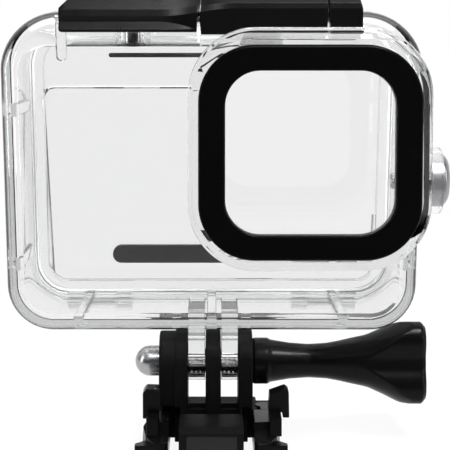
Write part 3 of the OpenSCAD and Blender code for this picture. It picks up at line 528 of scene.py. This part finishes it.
# The window line is a groove in the door's back face, which ends behind the port
LINE_R = 2.3
corners = [(34.4 - LINE_R, 68.2 - LINE_R), (LINE_R - 34.4, 68.2 - LINE_R),
           (LINE_R - 32.7, 28.4 + LINE_R), (32.7 - LINE_R, 28.4 + LINE_R)]
groove = ((0.3, 17), (0.28, 16.39), (0, 16.08), (-0.28, 16.39), (-0.3, 17))
line_rings = []
for out, y in groove:
    arcs = corner_arcs([(x, z, LINE_R + out) for x, z in corners], 8)
    line_rings.append([(x + SHIFT, y, z) for x, z, n in arcs])
line = loft("line", line_rings, cyclic=True)
cut(line, block("end", -3.5, 45, 15, 18, 42, 75))
cut(door, line, housing_block("notch", 4.75, 14.55, 13, 19, 82.6, 86))
for s in (-1, 1):
    cut(door, housing_block("gap", s * HINGE_X - 6.9, s * HINGE_X + 6.9, 13, 19, 22, HINGE_Z + 2.3))
for s in (-1, 1):
    a, b = span(s, 19.85, 26.25)
    knuckle = arc_points(HINGE_Y, HINGE_Z, HINGE_R, range(160, 381, 10))
    knuckle += [(HINGE_Y + 1.25, HINGE_Z + 3.2), (DOOR_Y + 0.2, HINGE_Z + 3.2), (DOOR_Y + 0.2, HINGE_Z + 2.2)]
    add(door, plate("knuckle", a, b, knuckle, 0.15, 2))
    cut(door, rod("bore", "x", a - 2, b + 2, HINGE_Y, HINGE_Z, 0.96))
piece(door, "door", polycarbonate, "clear_plastic", "rear_door")

# Rubber rest bars: width, height and lower edge
for name, w, h, z in (("bottom_pad", 40.4, 3.6, 32.4), ("top_pad", 41.6, 0.9, 74.3)):
    bar = panel(name + "_rubber", SHIFT, z + h / 2, w, h, h / 2 - 0.02, DOOR_Y - 1.8, DOOR_Y, 10)
    piece(soften(bar, 0.2, 2), "door", rubber, "black_rubber", name)


# Top latch
def crease(x):
    """Share of the way from the bezel's low crease to the lever's high one."""
    t = min(1.0, max(0.0, (x + 9.5) / 13.5))
    return t * t * (3 - 2 * t)


def bar_front(x, foot):
    """The front of the latch bar seen from the side, from its foot up to its top, at x."""
    b = crease(x - SHIFT)
    low = max(foot + 0.45, 81.06 - 2.6 * b)
    fold = 81.95 + 1.45 * b
    ridge = fold + 1.3 - 0.3 * b
    dent = 0.85 * max(0.0, 1 - 2 * b)
    lean = 0.3 - 0.12 * b + 1.7 * b * (1 - b)
    return [(LATCH_Y + 0.3, foot, 0.15), (LATCH_Y, foot + 0.4, 0.3), (LATCH_Y + dent, low, 0.1),
            (LATCH_Y + dent * 0.3, fold, 0.12), (LATCH_Y + dent * 0.3 + lean, ridge, 0.2),
            (LATCH_Y + 2.1, LATCH_TOP - 1.3, 1.2), (LATCH_Y + 5, LATCH_TOP, 0.8)]


def bar_loft(name, x0, x1, foot, rest):
    """A length of the latch bar; rest are the points behind its front."""
    count = max(2, round((x1 - x0) / 0.6))
    rings = []
    for i in range(count + 1):
        x = x0 + (x1 - x0) * i / count + SHIFT
        rings.append([(x, y, z) for y, z in round_polygon(bar_front(x, foot) + rest, 4)])
    return loft(name, rings)


def trim(obj, outline):
    """Keeps what lies inside an outline seen from the front."""
    points = [(x + SHIFT, z) for x, z in round_polygon(outline, 5)]
    return boolean(obj, prism("trim", points, "y", -30, 20), "INTERSECT")


def shell_space():
    """The room that the clear shell takes under the latch, seen from the side."""
    arc = arc_points(-11.5, 77, 6.03, range(180, 89, -5))
    return prism("space", arc + [(30, 83.03), (30, 60), (-17.53, 60)], "x", -40, 40)


bezel = bar_loft("shutter_bezel_black", -27.6, -2.2, LATCH_BOTTOM, [
    (7.5, LATCH_TOP, 0.3), (7.5, LATCH_BOTTOM, 0)])
trim(bezel, [(-27.4, LATCH_BOTTOM, 0.7), (-2.7, LATCH_BOTTOM, 0.2), (-2.6, 81.7, 1), (-2.17, 84.9, 0),
             (-2.17, 89, 0), (-21.9, 89, 0), (-27.4, 83.5, 0.5)])
cut(bezel, shell_space(), rod("recess", "z", 80, 90, SHUTTER_X, 0, 4.95, 72),
    rod("bore", "x", -6.4 + SHIFT, 0, PIVOT_Y, PIVOT_Z, PIVOT_BORE_R))
piece(soften(bezel, 0.16, 2, 32), "housing", latch_black, "latch_black", "shutter_bezel")

end_block = bar_loft("latch_end_black", 20.9, 27.6, LATCH_BOTTOM + 0.6, [
    (PIVOT_Y, LATCH_TOP, 0.3), (PIVOT_Y, 79.4, 0)])
trim(end_block, [(21.3, 79.4, 0.2), (27.0, 79.4, 0.4), (27.0, 83.3, 0.6), (26.5, 85.2, 0.8), (26.4, 89, 0),
                 (21.05, 89, 0), (21.05, 81.2, 1)])
add(end_block, housing_rod("round", 21.05, 26.5, PIVOT_Y, PIVOT_Z, 2.2))
cut(end_block, shell_space(), rod("bore", "x", 19.5, 25.7 + SHIFT, PIVOT_Y, PIVOT_Z, PIVOT_BORE_R),
    block("pocket", 20, 24.7 + SHIFT, -13.2, -6.8, 84.35, 86.55))
piece(soften(end_block, 0.16, 2, 32), "housing", latch_black, "latch_black", "latch_end_block")

lever = bar_loft("latch_lever_black", -2.4, 21.0, LEVER_FOOT, [
    (PIVOT_Y, PIVOT_Z + 1.9, 0), (PIVOT_Y, PIVOT_Z + 1.2, 0), (LATCH_Y + 5, LATCH_TOP - 0.9, 0.5),
    (LATCH_Y + 2.6, LATCH_TOP - 1.9, 0.5), (LATCH_Y + 1.55, LATCH_TOP - 4.2, 0.6), (LATCH_Y + 1.05, 82.3, 0.3),
    (LATCH_Y + 1.05, LEVER_FOOT, 0.2)])
trim(lever, [(-1.9, LATCH_BOTTOM - 0.5, 0.3), (2.6, LATCH_BOTTOM - 0.5, 1), (5.0, 79.75, 1), (20.6, 79.75, 0.3),
             (20.75, 81.5, 1), (20.75, 89, 0), (-1.85, 89, 0), (-1.85, 84.9, 0), (-2.2, 81.3, 1)])
arm = [(LATCH_Y + 0.9, 80.4), (LATCH_Y + 0.9, 83.6), (LATCH_Y + 2.4, 86.1), (LATCH_Y + 5, 87.5),
       (PIVOT_Y, 87.05), (PIVOT_Y, 83.3), (-11.5, 83.8), (-14.5, 83.2), (-16.8, 81.5), (-18.0, 80.4)]
for x0, x1 in ((-1.85, 5.15), (14.15, 20.75)):
    add(lever, prism("arm", arm, "x", x0 + SHIFT, x1 + SHIFT),
        housing_rod("eye", x0, x1, PIVOT_Y, PIVOT_Z, 1.9))
cut(lever, housing_block("slot", 5.15, 14.15, -16.1, 1, 83, 90),
    housing_rod("bore", -3.1, 2.9, PIVOT_Y, PIVOT_Z, 0.86),
    housing_rod("bore", 16.4, 22.4, PIVOT_Y, PIVOT_Z, 0.86),
    housing_rod("bore", 3.45, 15.85, HOOK_Y, HOOK_Z, 0.6),
    housing_block("tee", 15.05, 22.4, -12.85, -7.15, 85.1, 86.4),
    housing_block("tee", 15.05, 22.4, -11.5, -8.5, 85.25, 89))
soften(lever, 0.14, 2, 32)
piece(lever, "lever", latch_black, "latch_black", "latch_lever")

hook_line = [(HOOK_Y, 84.4), (18.1, 84.4), (18.1, 82.9), (18.74, 82.7), (19.7, 83.5), (19.7, 85.5),
             (HOOK_Y, 85.5)]
hook = prism("latch_hook_steel", hook_line, "x", 5.45 + SHIFT, 13.85 + SHIFT)
add(hook, housing_rod("eye", 5.45, 13.85, HOOK_Y, HOOK_Z, 1.4))
cut(hook, housing_rod("bore", 4, 15, HOOK_Y, HOOK_Z, 0.66))
piece(soften(hook, 0.2, 3), "hook", chrome, "chrome_steel", "latch_hook")

slider = housing_block("lock_slider_black", 15.2, 20.7, -12.7, -7.3, 85.25, 86.25)
add(slider, housing_block("stalk", 15.5, 18.5, -11.35, -8.65, 86.0, 87.9))
soften(slider, 0.15, 2)
for i in range(3):
    x = 15.6 + 1.05 * i + SHIFT
    add(slider, soften(block("rib", x, x + 0.6, -11.35, -8.65, 87.5, 88.2), 0.12, 2))
piece(slider, "lock", latch_black, "latch_black", "lock_slider")


# Push buttons
def button(name, axis, u, v, under, top, r, skirt, edge, body, node):
    """A round hollow cap from its under side to its top, with a skirt below and a slightly dished face."""
    outside = rounded_path([(under - skirt, r - 0.02), (top - edge * 0.7, r - 0.02, edge),
                            (top, r - edge, edge * 0.5), (top - 0.18, r - edge - 0.5, 0.2),
                            (top - 0.1, 0.0)], 6)
    cap = revolve(name, [(under - skirt, r - 0.7)] + outside, axis, u, v, 72)
    cut(cap, rod("inside", axis, under - skirt - 1, under, u, v, r - 0.7, 72),
        rod("bore", axis, under - 1, under + (top - under) / 2, u, v, 1.071))
    return piece(cap, body, satin, "button_metal", node)


def coil(name, axis, u, v, start, length, radius, wire, turns, body, node):
    """A helical spring as one tube."""
    rings = []
    turn_steps, wire_steps = 28, 12
    n = turns * turn_steps
    for i in range(n + 1):
        a = 2 * math.pi * i / turn_steps
        t = start + wire / 2 + (length - wire) * i / n
        ring = []
        for j in range(wire_steps):
            b = 2 * math.pi * j / wire_steps
            r = radius + wire / 2 * math.cos(b)
            ring.append(place(axis, t + wire / 2 * math.sin(b), u + r * math.cos(a), v + r * math.sin(a)))
        rings.append(ring)
    obj = loft(name, rings)
    piece(obj, body, chrome, "chrome_steel", node)
    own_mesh(obj)
    return obj


button("shutter_button", "z", SHUTTER_X, 0, 85.6, 86.9, 4.0, 0.9, 0.5, "shutter", "shutter_cap")
button("mode_button", "x", MODE_Y, MODE_Z + 0.15, 42.76 + SHIFT, 44.96 + SHIFT, 5.15, 1.3, 1.3, "mode",
       "mode_cap")
coil("shutter_coil", "z", SHUTTER_X, 0, 83.05, 2.5, 2.5, 0.45, 2, "shutter", "shutter_spring")
coil("mode_coil", "x", MODE_Y, MODE_Z, 38.01 + SHIFT, 4.7, 3.1, 0.45, 5, "mode", "mode_spring")

# Quick release buckle and prongs
base = soften(block("buckle_black", -12.9, 12.9, -1.9, 12, 0, 1.6), 0.3, 2)
rear = soften(block("rear", -9, 9, 0, 11.5, 0.5, 3.6), 0.5, 3)
deck = soften(block("deck", -12.2, 12.2, -1.9, 5, 0.3, 5.8), 0.5, 3)
tongue = prism("tongue", [(-20.5, 0), (-20.5, 6.4), (-19.3, 7.3), (-9.6, 7.0), (-7.8, 5.6), (-7.8, 0)], "x",
               FRONT_SHIFT - TONGUE_HALF, FRONT_SHIFT + TONGUE_HALF)
soften(tongue, 0.08, 2)
plinth = soften(block("plinth", -8.49, 8.49, -8.2, 7.8, 0.5, 5.8), 0.4, 3)
floor_steps = [(2.4, 8), (2.4, 5.9), (1.6, 5.1), (0.5, 5.0), (-0.3, 4.3), (-7.7, 4.3), (-7.7, 8)]
add(base, rear, deck, plinth, tongue)
for x0, x1 in ((-5.06, -1.6), (1.36, 4.74)):
    cut(base, prism("steps", floor_steps, "x", x0 + 0.01, x1 - 0.01))
cut(base, soften(block("inset", -5.1, 4.3, -21, -20.25, -1, 6.0), 0.1, 2))
inset_outline = [(-20.25, 5.95), (-20.3, 5.8), (-20.75, 0.2), (-20.25, 0.1)]
inset = prism("tongue_panel_black", inset_outline, "x", -5.05, 4.25)
piece(soften(inset, 0.08, 2), "buckle", matt, "black_plastic")
for x0, x1 in ((-PRONG_END, -5.06), (-1.6, 1.36), (4.74, PRONG_END)):
    add(base, plate("prong", x0, x1, prong_outline(PRONG_R, 1.0, 4.6), 0.35, 3))
BOSS_R = 5.9
BOSS_START = -7.2
boss_path = rounded_path([(BOSS_START, BOSS_R), (BOSS_END, BOSS_R, 0.6), (BOSS_END, 4.0)], 4)
boss = revolve("boss", boss_path, "x", 0, AXIS_Z, 72)
web_outline = [(-BOSS_R, AXIS_Z), (BOSS_R, AXIS_Z), (BOSS_R, 5.2), (-BOSS_R, 5.2)]
add(base, boss, soften(prism("web", web_outline, "x", BOSS_END, BOSS_START), 0.3, 2))
sixths = range(0, 360, 60)
cut(base, rod("bore", "x", -12, 9, 0, AXIS_Z, SCREW_BORE_R),
    prism("hex", arc_points(0, AXIS_Z, NUT_R + 0.065, sixths), "x", BOSS_END - 1, BOSS_START + 0.01))
for s in (-1, 1):
    a, b = sorted((s * TONGUE_HALF + FRONT_SHIFT, s * 20))
    cut(base, block("bay", a, b, -42, -1.9, -1, 7.6),
        block("neck", s * ARM_X - 1.4, s * ARM_X + 1.4, -3, 1, -1, 6.8),
        rod("root", "z", -1, 6.8, s * ARM_X, 1, 1.76))
for x0, x1 in ((5.4, 6.6), (-7.6, -6.4)):
    add(base, soften(block("corner", x0, x1, -4.6, -1.5, 0, 5.6), 0.2, 2))
piece(base, "buckle", base_black, "black_plastic", "buckle_base")


def snap_arm(s, name, body, tab):
    """A spring arm with its round sloping head, its outer catch and its finger tab."""
    arm = soften(block(name, *span(s, 7.9, 12.2, FRONT_SHIFT), -12.4, -2.6, 0.4, 6.0), 0.4, 3)
    head = [(7.9, -12.0, 0.1), (7.9, -19.6, 0.4), (8.7, -20.5, 0.5), (10.6, -20.1, 1.2), (12.1, -17.4, 1.6),
            (12.7, -13.6, 1.2), (12.2, -11.6, 0.5)]
    plan = round_polygon([(s * x + FRONT_SHIFT, y, r) for x, y, r in head], 6)
    low = [(x + (0.35 * s if abs(x) > 8.4 else 0), y - (0.3 if y < -19 else 0), 0.4) for x, y in plan]
    top = [(x, y, 6.1 + (y + 12.0) * 1.65 / 8.5) for x, y in plan]
    add(arm, soften(loft("head", [low, top]), 0.22, 3, 40))
    catch = [(10.2, -17.4, 0.2), (10.2, -20.2, 0.2), (14.0, -20.4, 0.5), (14.0, -18.6, 0.5), (11.9, -16.4, 0.4)]
    catch = round_polygon([(s * x + FRONT_SHIFT, y, r) for x, y, r in catch])
    add(arm, soften(prism("catch", catch, "z", 0.4, 4.1), 0.2, 2))
    add(arm, block("neck", s * ARM_X - 0.75, s * ARM_X + 0.75, -2.8, 1, 0.4, 6.0),
        rod("root", "z", 0.4, 6.0, s * ARM_X, 1, 1.7))
    web = prism("web", [(-17.6, 5.0), (-17.4, 8.3), (-9.8, 8.75), (-9.8, 5.3)], "x", *span(s, 10.3, 12.5, 0))
    add(arm, soften(web, 0.15, 2))
    add(arm, soften(prism("tab", round_polygon(tab), "y", -13.6, -9.6), 0.3, 3))
    return piece(arm, body, black, "black_plastic", "snap_" + name[:name.index("_black")])


snap_arm(1, "arm_right_black", "arm_right", [
    (10.4, 11.8, 0.2), (13.3, 12.85, 0.5), (14.0, 12.3, 0.4), (14.1, 7.4, 0.2), (12.9, 7.4, 0.2),
    (12.75, 8.4, 0.2), (10.2, 8.4, 0.2)])
snap_arm(-1, "arm_left_black", "arm_left", [
    (-9.95, 12.75, 0.2), (-12.7, 12.85, 0.8), (-13.3, 12.0, 0.5), (-13.3, 7.2, 0.2), (-12.35, 7.2, 0.2),
    (-12.3, 8.6, 0.2), (-10.0, 8.6, 0.2)])

# Dome nut, threaded screw and thumb knob
nut = prism("acorn_nut_steel", arc_points(0, AXIS_Z, NUT_R, sixths), "x", BOSS_END, BOSS_START + 0.01)
soften(nut, 0.2, 2)
dome = [(-10.4, DOME_R), (DOME_X, DOME_R)]
dome += [(DOME_X - DOME_R * math.sin(a), DOME_R * math.cos(a)) for a in map(math.radians, range(6, 91, 6))]
add(nut, revolve("dome", dome, "x", 0, AXIS_Z, 72))
cut(nut, rod("bore", "x", -11.6, -6, 0, AXIS_Z, SCREW_BORE_R))
piece(nut, "buckle", nickel, "chrome_steel", "acorn_nut")

PITCH = 0.8
rings = []
steps = 24
count = 340
for i in range(count + 1):
    x = -10.3 + (18.3 * i / count)
    ring = []
    for j in range(steps):
        a = 2 * math.pi * j / steps
        phase = (x / PITCH - j / steps) % 1
        height = min(1.0, max(0.0, 2.4 * (1 - abs(2 * phase - 1)) - 0.7)) if x < 7.2 else 1.0
        r = 2.08 + 0.38 * height
        ring.append((x, r * math.cos(a), AXIS_Z + r * math.sin(a)))
    rings.append(ring)
screw = loft("screw_steel", rings)
piece(screw, "thumbscrew", chrome, "chrome_steel", "screw_shaft", angle=75)

# The knob is its round spine blended into a three-lobed head
spine = rounded_path([(KNOB_START, 0), (KNOB_START, 4.3, 0), (7.95, 4.5, 0.2), (10.6, 4.5, 0.5),
                      (10.95, 4.15, 0.6), (14.9, 3.5, 3), (18.6, 3.25, 4), (22.6, 3.5, 4), (26.6, 4.3, 4),
                      (29.6, 4.8, 3), (KNOB_END, 4.8)], 6)
flare = rounded_path([(20.6, 3.2), (29.6, 4.8, 6), (33.0, 6.4, 3), (36.2, 8.1, 3), (38.6, KNOB_R, 1),
                      (40.2, KNOB_R, 1.0), (KNOB_END, 7.8)], 6)


def along(path, x):
    """The radius of a path of (x, radius) at x."""
    for (x0, r0), (x1, r1) in zip(path, path[1:]):
        if x0 <= x <= x1 and x1 > x0:
            return r0 + (r1 - r0) * (x - x0) / (x1 - x0)
    return path[0][1] if x < path[0][0] else path[-1][1]


rings = []
steps = 120
stations = [KNOB_START, 7.62, 7.7, 7.85] + [8 + 0.3 * i for i in range(109)] + [40.6, 40.85, 40.96, KNOB_END]
for x in stations:
    body_r = along(spine, x) if x > 7.6 else 4.2
    if x > 40.3:
        body_r -= (x - 40.3) * 0.5
    ring = []
    for j in range(steps):
        a = 2 * math.pi * j / steps
        lobe = KNOB_R - LOBE_DEPTH + LOBE_DEPTH * math.cos(3 * a + LOBE_TURN)
        head = min(lobe, along(flare, x)) if x > 22 else 0
        if x > 40.2:
            head = min(head, lobe - (x - 40.2) * 1.2)
        gap = head - body_r
        blend = 0.35 * min(1.0, max(0.0, (x - 24) / 8)) ** 2
        r = min((body_r + head + math.sqrt(gap * gap + blend)) / 2, KNOB_R)
        ring.append((x, r * math.cos(a), AXIS_Z + r * math.sin(a)))
    rings.append(ring)
knob = loft("thumb_knob_black", rings)
piece(knob, "thumbscrew", black, "black_plastic", "thumb_knob", angle=50)

# Rubber foot on the lower end of the shutter stem: points (height, radius). Its wide top flange is a dark disc
# put in as painted shade under the bezel and boss.
foot = revolve("shutter_foot_rubber", [
    (76.5, 0.6), (76.65, 1.6), (76.95, 2.3), (77.3, 2.3), (77.6, 1.7), (77.75, 1.7), (77.8, 3.3), (78.65, 3.4)],
    "z", SHUTTER_X, 0)
cut(foot, rod("bore", "z", 77.0, 80, SHUTTER_X, 0, 1.55))
piece(foot, "shutter", rubber, "black_rubber", "shutter_clip")

# The CAD nodes that show as they are get materials of their own
carried = {"lever_pins": chrome, "hook_pin": chrome, "hinge_pins": chrome, "shutter_stem": chrome,
           "mode_stem": chrome, "mode_clip": chrome, "shutter_oring": rubber,
           "mode_oring": rubber, "door_gasket": silicone}
for name, mat in carried.items():
    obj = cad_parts[name]
    obj.data.materials.clear()
    obj.data.materials.append(mat)

# Floor, world, lamps and camera
FLOOR_Z = -0.3
floor = solid("floor", [(x, y, FLOOR_Z) for x, y in ((-1500, -600), (1500, -600), (1500, 2400), (-1500, 2400))],
              [(0, 1, 2, 3)])
mat, tree, out = nodes_of("pale_floor")
lit = tree.nodes.new("ShaderNodeBsdfDiffuse")
lit.inputs["Color"].default_value = (0.9, 0.9, 0.9, 1)
seen = tree.nodes.new("ShaderNodeEmission")
seen.inputs["Color"].default_value = (1, 1, 1, 1)
mix = tree.nodes.new("ShaderNodeMixShader")
path = tree.nodes.new("ShaderNodeLightPath")
coords = tree.nodes.new("ShaderNodeTexCoord")
split = tree.nodes.new("ShaderNodeSeparateXYZ")
tree.links.new(coords.outputs["Object"], split.inputs[0])
away = tree.nodes.new("ShaderNodeVectorMath")
away.operation = "LENGTH"
tree.links.new(coords.outputs["Object"], away.inputs[0])


def ramp_between(source, near, far, at_near, at_far):
    ramp = tree.nodes.new("ShaderNodeMapRange")
    for key, value in (("From Min", near), ("From Max", far), ("To Min", at_near), ("To Max", at_far)):
        ramp.inputs[key].default_value = value
    tree.links.new(source, ramp.inputs["Value"])
    return ramp.outputs["Result"]


def math_node(operation, *values):
    node = tree.nodes.new("ShaderNodeMath")
    node.operation = operation
    for socket, value in zip(node.inputs, values):
        if isinstance(value, (int, float)):
            socket.default_value = value
        else:
            tree.links.new(value, socket)
    return node.outputs[0]


# The floor in front of the object turns dark in mirrors, and grey through clear parts
glossy = path.outputs["Is Glossy Ray"]
bent = path.outputs["Is Transmission Ray"]
direct = path.outputs["Is Camera Ray"]
loss = math_node("MULTIPLY_ADD", bent, FRONT_GREY - FRONT_DARK, math_node("MULTIPLY", glossy, FRONT_DARK - 1))
near = ramp_between(split.outputs["Y"], -0.12, -0.02, 1, 0)
tree.links.new(math_node("MULTIPLY_ADD", loss, near, 1), seen.inputs["Strength"])
share = math_node("MULTIPLY", direct, ramp_between(away.outputs["Value"], 0.12, 0.45, 0.9, 1))
tree.links.new(math_node("MAXIMUM", share, math_node("MAXIMUM", glossy, bent)), mix.inputs["Fac"])
tree.links.new(lit.outputs[0], mix.inputs[1])
tree.links.new(seen.outputs[0], mix.inputs[2])
tree.links.new(mix.outputs[0], out.inputs["Surface"])
floor.data.materials.append(mat)

world = bpy.data.worlds.new("studio")
scene.world = world
world.use_nodes = True
tree = world.node_tree
tree.nodes.clear()
out = tree.nodes.new("ShaderNodeOutputWorld")
path = tree.nodes.new("ShaderNodeLightPath")
coords = tree.nodes.new("ShaderNodeTexCoord")
split = tree.nodes.new("ShaderNodeSeparateXYZ")
tree.links.new(coords.outputs["Generated"], split.inputs[0])


def backdrop(axis, low, high, dark, light):
    """A white background whose strength changes along one direction."""
    fade = tree.nodes.new("ShaderNodeMapRange")
    fade.interpolation_type = "SMOOTHSTEP"
    for key, value in (("From Min", low), ("From Max", high), ("To Min", dark), ("To Max", light)):
        fade.inputs[key].default_value = value
    tree.links.new(split.outputs[axis], fade.inputs["Value"])
    shade = tree.nodes.new("ShaderNodeBackground")
    shade.inputs["Color"].default_value = (1, 1, 1, 1)
    tree.links.new(fade.outputs["Result"], shade.inputs["Strength"])
    return shade.outputs[0]


def choose(kind, no, yes):
    """One of two backgrounds, by the kind of ray."""
    mix = tree.nodes.new("ShaderNodeMixShader")
    tree.links.new(path.outputs[kind], mix.inputs["Fac"])
    tree.links.new(no, mix.inputs[1])
    tree.links.new(yes, mix.inputs[2])
    return mix.outputs[0]


seen = tree.nodes.new("ShaderNodeBackground")
seen.inputs["Color"].default_value = (1, 1, 1, 1)
room = tree.nodes.new("ShaderNodeBackground")
room.inputs["Color"].default_value = (1, 1, 1, 1)
room.inputs["Strength"].default_value = 0.45
result = choose("Is Glossy Ray", room.outputs[0], backdrop("Y", -0.1, 0.7, FRONT_DARK, 0.9))
result = choose("Is Transmission Ray", result, backdrop("Y", -0.25, 0.35, FRONT_GREY, 1.0))
result = choose("Is Camera Ray", result, seen.outputs[0])
tree.links.new(result, out.inputs["Surface"])


def lamp(name, place_mm, aim_mm, width, height, watts):
    """A rectangular lamp that looks at a point."""
    data = bpy.data.lights.new(name, "AREA")
    data.shape = "RECTANGLE"
    data.size = width * MM
    data.size_y = height * MM
    data.energy = watts
    obj = bpy.data.objects.new(name, data)
    scene.collection.objects.link(obj)
    obj.location = Vector(place_mm) * MM
    obj.rotation_euler = (Vector(aim_mm) - Vector(place_mm)).to_track_quat("-Z", "Y").to_euler()


lamp("key_light", (30, -300, 370), (5, 0, 30), 130, 80, 0.9)
lamp("streak_light", (150, -229, 407), (13, -3, 18), 40, 60, 2.0)
lamp("top_light", (0, 100, 480), (0, 0, 60), 600, 400, 0.9)
lamp("left_light", (-420, -150, 150), (0, 0, 60), 80, 300, 0.6)
lamp("right_light", (420, -120, 170), (0, 0, 60), 80, 300, 0.5)

camera_data = bpy.data.cameras.new("photo_camera")
camera = bpy.data.objects.new("photo_camera", camera_data)
scene.collection.objects.link(camera)
scene.camera = camera
# The camera fitted to the photo: its tilt, distance, focal length and the photo's centre in pixels
PHOTO = 450
FOCAL = 1340
CENTRE_X, CENTRE_Y = 211.75, 150.6
DISTANCE = 260
tilt = math.radians(4.7)
target = Vector((SHIFT, 0, 56.4))
camera.location = (target - Vector((0, math.cos(tilt), -math.sin(tilt))) * DISTANCE) * MM
camera.rotation_euler = (math.radians(90) - tilt, 0, 0)
camera_data.sensor_width = 36
camera_data.lens = FOCAL / PHOTO * camera_data.sensor_width
camera_data.shift_x = (PHOTO / 2 - CENTRE_X) / PHOTO
camera_data.shift_y = -(PHOTO / 2 - CENTRE_Y) / PHOTO
camera_data.clip_start = 0.01
camera_data.clip_end = 20
scene.view_settings.view_transform = "Standard"
